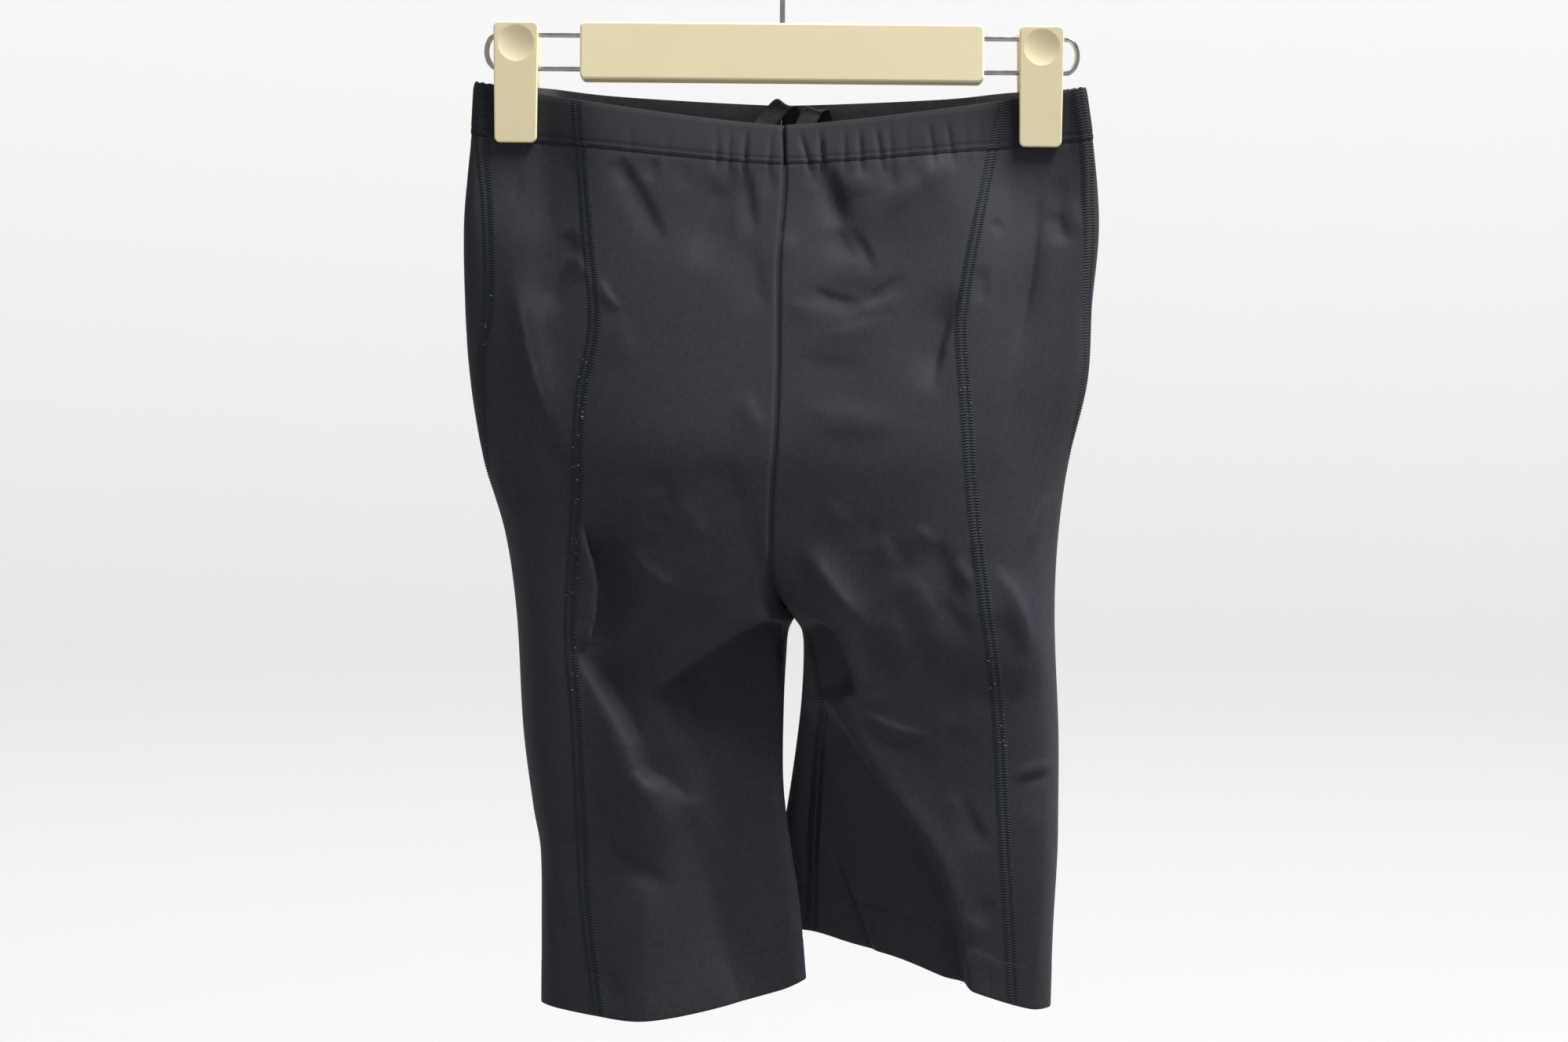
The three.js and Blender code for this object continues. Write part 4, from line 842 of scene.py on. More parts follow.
def turn_at(side, front, distance, row_z):
    """The turn at a distance out from the middle plane, found by halving."""
    inner, outer = row_ends(side, front, row_z)
    share = np.clip((distance - inner) / (outer - inner), 0, 1)
    low, high = np.zeros_like(share), np.ones_like(share)
    for _ in range(HALVINGS):
        middle = (low + high) / 2
        under = spread(middle, leg_closure(row_z)) < share
        low, high = np.where(under, middle, low), np.where(under, high, middle)
    t = (low + high) / 2
    return np.where(front, t / 2, 1 - t / 2)


def front_side_turn(side, row_z):
    return turn_at(side, True, read(FRONT_SIDE_SEAM, HALF[side], row_z), row_z)


def side_back_turn(side, row_z):
    from_fold = read(SIDE_BACK_SEAM, HALF[side], row_z)
    _, outer = row_ends(side, from_fold > 0, row_z)
    return turn_at(side, from_fold > 0, outer - np.abs(from_fold), row_z)


def inseam_turn(side, row_z):
    from_fold = read(INSEAM, HALF[side], row_z)
    inner, _ = row_ends(side, True, row_z)
    turn = np.sign(from_fold) * turn_at(side, True, inner + np.abs(from_fold), row_z)
    return np.where(row_z >= CROTCH_Z, 0, turn)


def back_end_turn(side, row_z):
    return 1 + inseam_turn(side, row_z)


def turn_per_mm(side, turn, row_z):
    """How much turn covers a millimetre along the cloth."""
    middle = np.where(row_z > CROTCH_Z, np.clip(turn, TURN_PROBE, 1 - TURN_PROBE), turn)
    ahead = cloth_point(side, middle + TURN_PROBE, row_z)
    behind = cloth_point(side, middle - TURN_PROBE, row_z)
    return 2 * TURN_PROBE / np.linalg.norm(ahead - behind, axis=-1)


# %% [markdown]
# ## Panels, casings and hems
#
# Each piece is a closed shell: an outside, an inside moved back by the wall, and a rim that joins them. The
# columns run from one seam to the next and the rows from one edge to the other, a millimetre or two apart, so
# that the creases have enough points to bend on. A cloth simulation would settle the garment nicely but not
# into these folds, so the shape is drawn instead.


# %% Cut a shell of cloth
EDGE_COLUMNS = (0.35, 0.8, 1.4)
TRIAL_POINTS = 200
inner_faces = {}


def even_shares(side, first, last, rows, column_size):
    """Shares of the way from one edge to the other that put the columns evenly, and closer at the edges."""
    middle = len(rows) // 3
    fine = np.linspace(0, 1, TRIAL_POINTS)
    trial = cloth_point(side, first[middle] + (last[middle] - first[middle]) * fine, rows[middle])
    travelled = np.concatenate([[0], np.cumsum(np.linalg.norm(np.diff(trial, axis=0), axis=1))])
    width = travelled[-1]
    places = np.linspace(0, width, int(width / column_size) + 1)[2:-2]
    near = np.array(EDGE_COLUMNS)
    places = np.concatenate([[0], near, places, width - near[::-1], [width]])
    return np.interp(places, travelled, fine)


def cloth_shell(name, side, start, end, rows, column_size, wall):
    """A closed piece of cloth between two seams, which remembers which faces are its inside."""
    rows = np.asarray(rows, float)
    first, last = start(side, rows), end(side, rows)
    shares = even_shares(side, first, last, rows, column_size)
    columns = len(shares)
    turns = first[:, None] + (last - first)[:, None] * shares[None, :]
    heights = np.repeat(rows[:, None], columns, 1)
    outside, normal = surface(side, turns, heights)
    inside = cloth_point(side, turns, heights) - normal * wall
    count = len(rows) * columns
    flip = side < 0
    faces = [grid_faces(len(rows), columns, flip=not flip), grid_faces(len(rows), columns, count, flip=flip)]
    row = np.arange(len(rows) - 1) * columns
    column = np.arange(columns - 1)
    bottom = (len(rows) - 1) * columns
    left = np.stack([row, row + columns, count + row + columns, count + row], -1)
    right = (left + columns - 1)[:, ::-1]
    top = np.stack([column, count + column, count + column + 1, column + 1], -1)
    under = (top + bottom)[:, ::-1]
    rim = np.vstack([left, right, top, under])
    faces.append(rim if flip else rim[:, ::-1])
    piece = make_piece(name, np.vstack([outside.reshape(-1, 3), inside.reshape(-1, 3)]), np.vstack(faces))
    inner_faces[name] = (len(faces[0]), len(faces[0]) + len(faces[1]))
    area = piece_area(outside)
    print(f"{name}: {len(rows)} rows, {columns} columns, {area:.4f} square metres")
    return piece


def piece_area(points):
    """The area of a grid of points in millimetres, in square metres."""
    across, down = points[:-1, 1:] - points[:-1, :-1], points[1:, :-1] - points[:-1, :-1]
    return float(np.linalg.norm(np.cross(across, down), axis=-1).sum()) * MM * MM


# %% Rows of each kind of piece
PANEL_ROW = 1.35
CASING_ROW = 0.85
HEM_ROW = 1.1
PANEL_COLUMN = 1.3
BACK_COLUMN = 2.1
EDGE_COLUMN = 1.1
UNDER_ROWS = 30
KNIT_WALL = 0.9
CASING_WALL = 2.4
HEM_WALL = 1.8
RIM_ROWS = [0, 0.15, 0.45, 0.9, 1.5]

under_top = CROTCH_Z + UNDERCURVE_HEIGHT
under_rows = CROTCH_Z + UNDERCURVE_HEIGHT * (1 - np.sin(np.arange(1, UNDER_ROWS) / UNDER_ROWS * np.pi / 2))
panel_rows = np.concatenate([
    np.linspace(CASING_END, under_top, int((CASING_END - under_top) / PANEL_ROW)),
    under_rows,
    np.linspace(CROTCH_Z, HEM_START, int((CROTCH_Z - HEM_START) / PANEL_ROW)),
])
rim_down = np.array(RIM_ROWS)
casing_rows = WAIST_Z - np.concatenate([
    rim_down, np.linspace(2.2, CASING_HEIGHT, int(CASING_HEIGHT / CASING_ROW))])
hem_rows = HEM_Z + np.concatenate([
    np.linspace(HEM_HEIGHT, 2.2, int(HEM_HEIGHT / HEM_ROW)), rim_down[::-1]])
print(len(panel_rows), "panel rows,", len(casing_rows), "casing rows,", len(hem_rows), "hem rows")

# %% Cut every piece of both halves
CUTS = {
    "front": (inseam_turn, front_side_turn, PANEL_COLUMN),
    "side": (front_side_turn, side_back_turn, PANEL_COLUMN),
    "back": (side_back_turn, back_end_turn, BACK_COLUMN),
}
for side, half in HALF.items():
    for cut, (start, end, column_size) in CUTS.items():
        for kind, rows, size, wall in (
            ("panel", panel_rows, column_size, KNIT_WALL),
            ("casing", casing_rows, EDGE_COLUMN, CASING_WALL),
            ("hem", hem_rows, column_size, HEM_WALL),
        ):
            name = f"{cut}_{kind}_cloth_{half}"
            pieces[name] = cloth_shell(name, side, start, end, rows, size, wall)

# %% [markdown]
# ## Flat seams and stitches
#
# A flat overlocked seam shows two columns of short, raised threads with a sunk line between them, each thread
# bowed a little like a fish bone. Each is a small tapered bar that lies on the surface. There are some four
# thousand, so they are worked out together as one array for each seam and joined in one mesh. The straight
# stitches of the casing and hems use the same bar, laid along the line instead of across it.

# %% Small bars of thread on the surface
BAR_STATIONS = 4
BAR_POINTS = 4 * BAR_STATIONS
BAR_TAPER = np.array([0.45, 1, 1, 0.45])
BAR_SINK = 0.25
WAIST_TO_HEM = (WAIST_Z - 0.9, HEM_Z + 0.9)


def thread_bars(side, turns, rows, half_height, rise):
    """Bars along (bars, stations) turns and rows: their points and faces."""
    middle, normal = surface(side, turns, rows)
    upper, _ = surface(side, turns, rows + NORMAL_DROP)
    lower, _ = surface(side, turns, rows - NORMAL_DROP)
    upward = unit(upper - lower)
    taper = BAR_TAPER[None, :, None]
    rings = np.stack([
        middle + upward * half_height * taper,
        middle + normal * rise * taper,
        middle - upward * half_height * taper,
        middle - normal * BAR_SINK * taper,
    ], 2)
    bars, stations, sides, _ = rings.shape
    one = grid_faces(stations, sides, wrap=True)
    ends = np.array([[3, 2, 1, 0], np.arange(sides) + (stations - 1) * sides])
    one = np.vstack([one, ends])
    faces = (one[None] + (np.arange(bars) * stations * sides)[:, None, None]).reshape(-1, 4)
    return rings.reshape(-1, 3), faces


def join_arrays(parts):
    """Several point and face arrays as one."""
    points, faces, count = [], [], 0
    for part_points, part_faces in parts:
        points.append(part_points)
        faces.append(part_faces + count)
        count += len(part_points)
    return np.vstack(points), np.vstack(faces)


# %% Flat seams
SEAM_PITCH = 1.5
SEAM_COLUMNS = {
    "wide": {"from": -0.25, "to": -3.9, "slant": 0.2},
    "narrow": {"from": 0.45, "to": 3.1, "slant": 0.1},
}
BAR_HALF_HEIGHT = 0.52
BAR_RISE = 0.42
BOW_POWER = 1.4
BOW_SCALE = 1.6
INSIDE_LEG_TOP = CROTCH_Z - 8


def flat_seam(name, side, seam_turn, top, bottom):
    """Two columns of bowed threads beside a seam, from one row down to another."""
    rows = np.arange(top, bottom, -SEAM_PITCH)
    middle = seam_turn(side, rows)
    per_mm = turn_per_mm(side, middle, rows)
    parts = []
    for column in SEAM_COLUMNS.values():
        offsets = np.linspace(column["from"], column["to"], BAR_STATIONS)
        turns = middle[:, None] + per_mm[:, None] * offsets[None, :]
        drop = column["slant"] * np.abs(offsets - offsets[0]) ** BOW_POWER / BOW_SCALE
        bowed = np.clip(rows[:, None] - drop[None, :], HEM_Z, WAIST_Z)
        parts.append(thread_bars(side, turns, bowed, BAR_HALF_HEIGHT, BAR_RISE))
    points, faces = join_arrays(parts)
    print(f"{name}: {2 * len(rows)} threads")
    return make_piece(name, points, faces)


for side, half in HALF.items():
    for seam, seam_turn, top in (
        ("front_side", front_side_turn, WAIST_TO_HEM[0]),
        ("side_back", side_back_turn, WAIST_TO_HEM[0]),
        ("inside_leg", inseam_turn, INSIDE_LEG_TOP),
    ):
        name = f"{seam}_seam_{half}"
        pieces[name] = flat_seam(name, side, seam_turn, top, WAIST_TO_HEM[1])

# %% Rows of stitches round the casing and the hems
STITCH_PITCH = 2.7
STITCH_SHARE = 0.8
STITCH_HALF_HEIGHT = 0.26
STITCH_RISE = 0.2
STITCH_LINE_POINTS = 800


def stitch_row(side, row_z, first, last):
    """Stitches end to end along one row of the cloth."""
    fine = np.linspace(first, last, STITCH_LINE_POINTS)
    line = cloth_point(side, fine, row_z)
    travelled = np.concatenate([[0], np.cumsum(np.linalg.norm(np.diff(line, axis=0), axis=1))])
    starts = np.arange(1, travelled[-1] - STITCH_PITCH, STITCH_PITCH)
    places = starts[:, None] + np.linspace(0, STITCH_PITCH * STITCH_SHARE, BAR_STATIONS)[None, :]
    turns = np.interp(places, travelled, fine)
    return thread_bars(side, turns, np.full_like(turns, row_z), STITCH_HALF_HEIGHT, STITCH_RISE)


for side, half in HALF.items():
    waist = [stitch_row(side, WAIST_Z - line, 0.001, 0.999) for line in CASING_STITCHES]
    pieces[f"casing_stitches_{half}"] = make_piece(f"casing_stitches_{half}", *join_arrays(waist))
    hem = stitch_row(side, HEM_START - HEM_STITCH, 0.0, 1.0)
    pieces[f"hem_stitches_{half}"] = make_piece(f"hem_stitches_{half}", *hem)
    waist_count, hem_count = 2 * len(waist[0][0]) // BAR_POINTS, len(hem[0]) // BAR_POINTS
    print(f"stitches {half}: {waist_count} at the waist, {hem_count} at the hem")

# %% [markdown]
# ## Lint
#
# The seams have caught a few pale fibres, which show against the dark knit. Each is a tiny flattened bead.
# They are scattered with a seeded random generator between heights where the seams have picked them up, so
# each run gives the same specks.

# %% Specks of lint on the seams
LINT_SEED = 11
LINT_STRETCHES = (
    (-1, front_side_turn, -262, -330, 20), (-1, front_side_turn, -372, -440, 9),
    (-1, front_side_turn, -330, -372, 6), (1, front_side_turn, -248, -372, 12),
    (1, front_side_turn, -372, -470, 8), (-1, side_back_turn, -230, -262, 6),
)
LINT_SIZE = (0.16, 0.42)
LINT_SPREAD = (-3.5, 3)
LINT_LIFT = 0.45


def lint_on(stretches, seed):
    """Beads with eight faces, scattered over stretches of the seams."""
    dice = np.random.default_rng(seed)
    beads = []
    for side, seam_turn, top, bottom, count in stretches:
        rows = dice.uniform(bottom, top, count)
        turns = seam_turn(side, rows)
        turns = turns + turn_per_mm(side, turns, rows) * dice.uniform(*LINT_SPREAD, count)
        places, _ = surface(side, turns, rows, LINT_LIFT)
        sizes = dice.uniform(*LINT_SIZE, (count, 3))
        corners = np.concatenate([np.eye(3), -np.eye(3)])
        beads.append(places[:, None] + corners[None] * sizes[:, None])
    points = np.vstack([bead.reshape(-1, 3) for bead in beads])
    eight = [(0, 1, 2), (1, 3, 2), (3, 4, 2), (4, 0, 2), (1, 0, 5), (3, 1, 5), (4, 3, 5), (0, 4, 5)]
    faces = (np.array(eight)[None] + (np.arange(len(points) // 6) * 6)[:, None, None]).reshape(-1, 3)
    return points, faces


pieces["seam_lint"] = make_piece("seam_lint", *lint_on(LINT_STRETCHES, LINT_SEED), sharp=180)
print("lint:", len(pieces["seam_lint"].data.vertices) // 6, "specks")

# %% [markdown]
# ## Wire loop and hook
#
# The hanger's rail is a loop of bright wire with round ends, and the hook is a bent wire with a straight
# stem. Both are swept tubes with enough sides to look round. The hook's end carries a small ball, and its
# lower end a flat rivet head under the bar.

# %% Swept wires
WIRE_RADIUS = 1.4
WIRE_SIDES = 20
RAIL_HALF_LENGTH = 158.3
RAIL_TOP_Z = -91.3
RAIL_BOTTOM_Z = -109.2
RAIL_END_LENGTH = 6
RAIL_END_STEPS = 20
BAR_HALF_LENGTH = 107
BAR_TOP_Z = -85
BAR_HEIGHT = 30.4
BAR_DEPTH = 14
BAR_WALL = 2.2
WIRE_CLEARANCE = 0.3
HOOK_INNER_RADIUS = 19
HOOK_STEM_TOP_Z = -56
HOOK_TIP_RADIUS = 2.6
HOOK_HEAD_HEIGHT = 1.5
HOOK_HEAD_PROFILE = ((0, 0.02), (0.05, 3.6), (0.3, 4), (1.2, 4), (1.45, 3.7), (1.5, WIRE_RADIUS))
HOOK_ANGLES = (-0.3 * math.pi, 1.12 * math.pi)
HOOK_STEM_START_Z = -79
HOOK_STEP = 0.9
HOOK_CROOK_POINTS = 17
HOOK_STEM_POINTS = 4
HOOK_TIP_RINGS = 14


def circle(radius, sides):
    angle = 2 * np.pi * np.arange(sides) / sides
    return np.stack([radius * np.cos(angle), radius * np.sin(angle)], -1)


def swept_wire(path, radii, closed=False):
    """A round tube along a path in the plane y = 0, with a radius at each point."""
    width, thickness = frame_along(path, (0, 1, 0), closed)
    ring = circle(1, WIRE_SIDES)
    radii = np.broadcast_to(radii, len(path))[:, None, None]
    spokes = width[:, None] * ring[None, :, :1] + thickness[:, None] * ring[None, :, 1:]
    rings = path[:, None] + radii * spokes
    faces = grid_faces(len(path), WIRE_SIDES, wrap=True)
    if closed:
        last = (len(path) - 1) * WIRE_SIDES + np.arange(WIRE_SIDES)
        first = np.arange(WIRE_SIDES)
        faces = np.vstack([faces, np.stack([last, np.roll(last, -1), np.roll(first, -1), first], -1)])
    return rings.reshape(-1, 3), faces


# %% Rail
rail_middle = (RAIL_TOP_Z + RAIL_BOTTOM_Z) / 2
rail_rise = (RAIL_TOP_Z - RAIL_BOTTOM_Z) / 2
rail_straight = RAIL_HALF_LENGTH - WIRE_RADIUS - RAIL_END_LENGTH
end_angles = np.pi / 2 - np.pi * np.arange(RAIL_END_STEPS + 1) / RAIL_END_STEPS
rail_path = np.vstack([
    np.stack([
        side * (rail_straight + RAIL_END_LENGTH * np.cos(end_angles)),
        np.zeros_like(end_angles),
        rail_middle + side * rail_rise * np.sin(end_angles),
    ], -1)
    for side in (1, -1)
])
pieces["rail_wire"] = make_piece("rail_wire", *swept_wire(rail_path, WIRE_RADIUS, closed=True))
print("rail:", len(rail_path), "rings")

# %% Hook, with its ball and rivet head
hook_radius = HOOK_INNER_RADIUS + WIRE_RADIUS
head_top = BAR_TOP_Z - BAR_WALL - WIRE_CLEARANCE
crook = np.linspace(*HOOK_ANGLES, HOOK_CROOK_POINTS)
hook_route = [(0, 0, head_top - HOOK_HEAD_HEIGHT / 2)]
hook_route += [(0, 0, z) for z in np.linspace(HOOK_STEM_START_Z, HOOK_STEM_TOP_Z, HOOK_STEM_POINTS)]
hook_route += [(hook_radius * math.cos(a), 0, hook_radius * math.sin(a) - HOOK_INNER_RADIUS) for a in crook]
hook_path, _ = smooth_path(hook_route, HOOK_STEP)

tip_direction = unit(hook_path[-1] - hook_path[-2])
tip_centre = hook_path[-1]
start_angle = math.acos(WIRE_RADIUS / HOOK_TIP_RADIUS)
tip_angles = np.linspace(-start_angle, math.pi / 2 - 0.02, HOOK_TIP_RINGS)
tip_path = tip_centre + tip_direction * (HOOK_TIP_RADIUS * np.sin(tip_angles))[:, None]
tip_radii = HOOK_TIP_RADIUS * np.cos(tip_angles)

head_path = np.array([(0, 0, head_top - HOOK_HEAD_HEIGHT + height) for height, _ in HOOK_HEAD_PROFILE])
head_radii = np.array([radius for _, radius in HOOK_HEAD_PROFILE])

keep = np.linalg.norm(hook_path - tip_centre, axis=1) > HOOK_TIP_RADIUS * math.sin(start_angle) + 0.1
above_head = (hook_path[:, 2] > head_top + 0.2) | (hook_path[:, 0] != 0)
stem = hook_path[keep & above_head]
whole_path = np.vstack([head_path, stem, tip_path])
whole_radii = np.concatenate([head_radii, np.full(len(stem), WIRE_RADIUS), tip_radii])
pieces["hook_wire"] = make_piece("hook_wire", *swept_wire(whole_path, whole_radii), sharp=40)
print("hook:", len(whole_path), "rings, top at", round(float(whole_path[:, 2].max()), 1), "mm")

# %% [markdown]
# ## Moulded bar and clips
#
# The bar is a hollow channel of cream plastic, open below, that the wires run through. Each clip is two
# leaning plates with ribs inside, and a shallow thumb dish near its top. Moulded edges are never sharp, so
# each plate starts as an outline with round corners, gets its thickness, and has its edges bevelled. The
# cavity, the wire holes and the dish are then cut with booleans, as a mould's core would leave them. Smooth
# shading would bend the light on the big flat faces, so the larger faces set the normals at their edges.


# %% Plates with rounded corners and edges
CORNER_STEPS = 8
BEVEL_STEPS = 3


def rounded_outline(half_top, half_bottom, top, bottom, corner):
    """Points round a plate seen from the front, with a quarter circle at each corner."""
    points = []
    for half, z, start in (
        (half_top, top - corner, 0), (-half_top, top - corner, 1),
        (-half_bottom, bottom + corner, 2), (half_bottom, bottom + corner, 3),
    ):
        inward = half - math.copysign(corner, half)
        for step in range(CORNER_STEPS + 1):
            angle = math.pi / 2 * (start + step / CORNER_STEPS)
            points.append((inward + corner * math.cos(angle), z + corner * math.sin(angle)))
    return points


def moulded_plate(half_top, half_bottom, top, bottom, corner, thickness, bevel):
    """A plate from y = 0 to y = thickness, as a bmesh in millimetres."""
    shape = bmesh.new()
    outline = rounded_outline(half_top, half_bottom, top, bottom, corner)
    front = shape.faces.new([shape.verts.new((x, 0, z)) for x, z in outline])
    grown = bmesh.ops.extrude_face_region(shape, geom=[front])["geom"]
    moved = [part for part in grown if isinstance(part, bmesh.types.BMVert)]
    bmesh.ops.translate(shape, verts=moved, vec=(0, thickness, 0))
    edges = [e for e in shape.edges if abs(e.verts[0].co.y - e.verts[1].co.y) < 1e-6]
    bmesh.ops.bevel(shape, geom=edges, offset=bevel, segments=BEVEL_STEPS, profile=0.5, affect="EDGES")
    bmesh.ops.recalc_face_normals(shape, faces=shape.faces)
    return shape


def scratch_object(shape):
    """A throwaway object from a bmesh in millimetres."""
    mesh = bpy.data.meshes.new("scratch")
    shape.to_mesh(mesh)
    shape.free()
    thing = bpy.data.objects.new("scratch", mesh)
    bpy.context.scene.collection.objects.link(thing)
    return thing


def box_shape(low, high):
    shape = bmesh.new()
    bmesh.ops.create_cube(shape, size=1)
    for vert in shape.verts:
        vert.co = [a + (b - a) * (c + 0.5) for a, b, c in zip(low, high, vert.co)]
    return shape


def rod_shape(radius, start, end, sides=24):
    """A round rod between two points that share two coordinates."""
    shape = bmesh.new()
    start, end = np.array(start, float), np.array(end, float)
    axis = int(np.argmax(np.abs(end - start)))
    others = [a for a in range(3) if a != axis]
    ring = circle(radius, sides)
    rings = []
    for place in (start, end):
        points = np.repeat(place[None], sides, 0)
        points[:, others] += ring
        rings.append([shape.verts.new(point) for point in points])
    shape.faces.new(rings[0])
    shape.faces.new(rings[1][::-1])
    for i in range(sides):
        j = (i + 1) % sides
        shape.faces.new((rings[0][j], rings[0][i], rings[1][i], rings[1][j]))
    bmesh.ops.recalc_face_normals(shape, faces=shape.faces)
    return shape


def carve(name, body, steps, sharp=35):
    """Joins shapes to a body or cuts them from it, one after another, and keeps the result."""
    solid = scratch_object(body)
    tools = []
    for operation, shape in steps:
        tool = scratch_object(shape)
        modifier = solid.modifiers.new(operation, "BOOLEAN")
        modifier.operation = operation
        modifier.solver = "EXACT"
        modifier.object = tool
        tools.append(tool)
    made = bpy.data.meshes.new_from_object(solid.evaluated_get(bpy.context.evaluated_depsgraph_get()))
    for thing in (solid, *tools):
        bpy.data.objects.remove(thing)
    made.transform(((MM, 0, 0, 0), (0, MM, 0, 0), (0, 0, MM, 0), (0, 0, 0, 1)))
    made.shade_smooth()
    made.set_sharp_from_angle(angle=math.radians(sharp))
    piece = bpy.data.objects.new(name, made)
    bpy.context.scene.collection.objects.link(piece)
    flats = piece.modifiers.new("flats stay flat", "WEIGHTED_NORMAL")
    flats.keep_sharp = True
    shaded = bpy.data.meshes.new_from_object(piece.evaluated_get(bpy.context.evaluated_depsgraph_get()))
    piece.modifiers.clear()
    piece.data = shaded
    bpy.data.meshes.remove(made)
    shaded.name = name
    return piece


# %% The bar
BAR_CORNER = 3
BAR_BEVEL = 1.2
CUTTER_OVERRUN = 4

bar_block = moulded_plate(
    BAR_HALF_LENGTH, BAR_HALF_LENGTH, BAR_TOP_Z, BAR_TOP_Z - BAR_HEIGHT, BAR_CORNER, BAR_DEPTH, BAR_BEVEL)
bmesh.ops.translate(bar_block, verts=bar_block.verts, vec=(0, -BAR_DEPTH / 2, 0))
cavity = box_shape(
    (-BAR_HALF_LENGTH + BAR_WALL, -BAR_DEPTH / 2 + BAR_WALL, BAR_TOP_Z - BAR_HEIGHT - CUTTER_OVERRUN),
    (BAR_HALF_LENGTH - BAR_WALL, BAR_DEPTH / 2 - BAR_WALL, BAR_TOP_Z - BAR_WALL),
)
reach = BAR_HALF_LENGTH + CUTTER_OVERRUN
hole = WIRE_RADIUS + WIRE_CLEARANCE
bar_steps = [("DIFFERENCE", cavity)]
for z in (RAIL_TOP_Z, RAIL_BOTTOM_Z):
    bar_steps.append(("DIFFERENCE", rod_shape(hole, (-reach, 0, z), (reach, 0, z))))
bar_steps.append((
    "DIFFERENCE",
    rod_shape(hole, (0, 0, BAR_TOP_Z - CUTTER_OVERRUN), (0, 0, BAR_TOP_Z + CUTTER_OVERRUN)),
))
pieces["bar_moulding"] = carve("bar_moulding", bar_block, bar_steps)
print("bar:", len(pieces["bar_moulding"].data.polygons), "faces")

# %% The clip jaws
JAW_TOP_Y = 10.6
JAW_TIP_Y = 3.5
JAW_THICKNESS = 3
JAW_CORNER = 3
JAW_BEVEL = 0.8
JAW_TAPER = 0.6
RIB_THICKNESS = 2.2
RIB_INSET = 1.8
RIB_TOP_Z = -87.6
RIB_BOTTOM_Z = -115
RIB_CORNER = 1
RIB_CLEARANCE = 0.3
DISH_Z = -99
DISH_RADIUS = 9.6
DISH_DEPTH = 1.5
DISH_SIDES = 72
DISH_RINGS = 16
DISH_OVERREACH = 1.3

jaw_height = CLIP_TOP_Z - CLIP_BOTTOM_Z
jaw_half = CLIP_WIDTH / 2
jaw_lean = math.atan2(JAW_TOP_Y - JAW_TIP_Y - JAW_THICKNESS, jaw_height)


def dish_cutter():
    """A lens whose round side is the thumb dish."""
    ball = (DISH_RADIUS**2 + DISH_DEPTH**2) / (2 * DISH_DEPTH)
    face_y = -JAW_TOP_Y + math.tan(jaw_lean) * (CLIP_TOP_Z - DISH_Z)
    widest = math.asin(DISH_RADIUS * DISH_OVERREACH / ball)
    shape = bmesh.new()
    rings = []
    for angle in np.linspace(0.01, widest, DISH_RINGS):
        radius, y = ball * math.sin(angle), face_y - ball + DISH_DEPTH + ball * math.cos(angle)
        rings.append([shape.verts.new((x, y, DISH_Z + z)) for x, z in circle(radius, DISH_SIDES)])
    rim_y = face_y - 2 * CUTTER_OVERRUN
    radius = ball * math.sin(widest)
    rings.append([shape.verts.new((x, rim_y, DISH_Z + z)) for x, z in circle(radius, DISH_SIDES)])
    for inner, outer in zip(rings, rings[1:]):
        for i in range(DISH_SIDES):
            j = (i + 1) % DISH_SIDES
            shape.faces.new((inner[i], inner[j], outer[j], outer[i]))
    shape.faces.new(rings[0])
    shape.faces.new(rings[-1])
    bmesh.ops.recalc_face_normals(shape, faces=shape.faces)
    return shape


def rib_shape(x):
    """A rib that runs on the wires behind a leaf."""
    inner_y = -JAW_TOP_Y + JAW_THICKNESS / 2
    outline = [
        (inner_y, RIB_TOP_Z), (-RIB_CLEARANCE, RIB_TOP_Z - RIB_CORNER),
        (-RIB_CLEARANCE, RIB_BOTTOM_Z + RIB_CORNER),
        (inner_y + math.tan(jaw_lean) * (RIB_TOP_Z - RIB_BOTTOM_Z), RIB_BOTTOM_Z),
    ]
    shape = bmesh.new()
    sides = [[shape.verts.new((at, y, z)) for y, z in outline]
             for at in (x - RIB_THICKNESS / 2, x + RIB_THICKNESS / 2)]
    shape.faces.new(sides[0])
    shape.faces.new(sides[1][::-1])
    for i in range(4):
        j = (i + 1) % 4
        shape.faces.new((sides[0][i], sides[0][j], sides[1][j], sides[1][i]))
    bmesh.ops.recalc_face_normals(shape, faces=shape.faces)
    return shape


def clip_jaw(name, clip_x, facing):
    """One jaw: a leaf with a dish and two ribs, turned to face front or rear."""
    leaf = moulded_plate(jaw_half, jaw_half - JAW_TAPER, 0, -jaw_height, JAW_CORNER, JAW_THICKNESS, JAW_BEVEL)
    cos, sin = math.cos(jaw_lean), math.sin(jaw_lean)
    for vert in leaf.verts:
        x, y, z = vert.co
        vert.co = (x, y * cos - z * sin - JAW_TOP_Y, y * sin + z * cos + CLIP_TOP_Z)
    rib_x = jaw_half - RIB_THICKNESS / 2 - RIB_INSET
    steps = [("UNION", rib_shape(x)) for x in (-rib_x, rib_x)]
    for z in (RAIL_TOP_Z, RAIL_BOTTOM_Z):
        steps.append(("DIFFERENCE", rod_shape(hole, (-CLIP_WIDTH, 0, z), (CLIP_WIDTH, 0, z))))
    steps.append(("DIFFERENCE", dish_cutter()))
    jaw = carve(name, leaf, steps)
    turn = 1 if facing < 0 else -1
    for vert in jaw.data.vertices:
        vert.co = (turn * vert.co.x + clip_x * MM, turn * vert.co.y, vert.co.z)
    jaw.data.update()
    return jaw


for side, half in HALF.items():
    for place, facing in (("front", -1), ("rear", 1)):
        name = f"{place}_jaw_{half}"
        pieces[name] = clip_jaw(name, CLIP_X[side], facing)
        print(name, len(pieces[name].data.polygons), "faces")

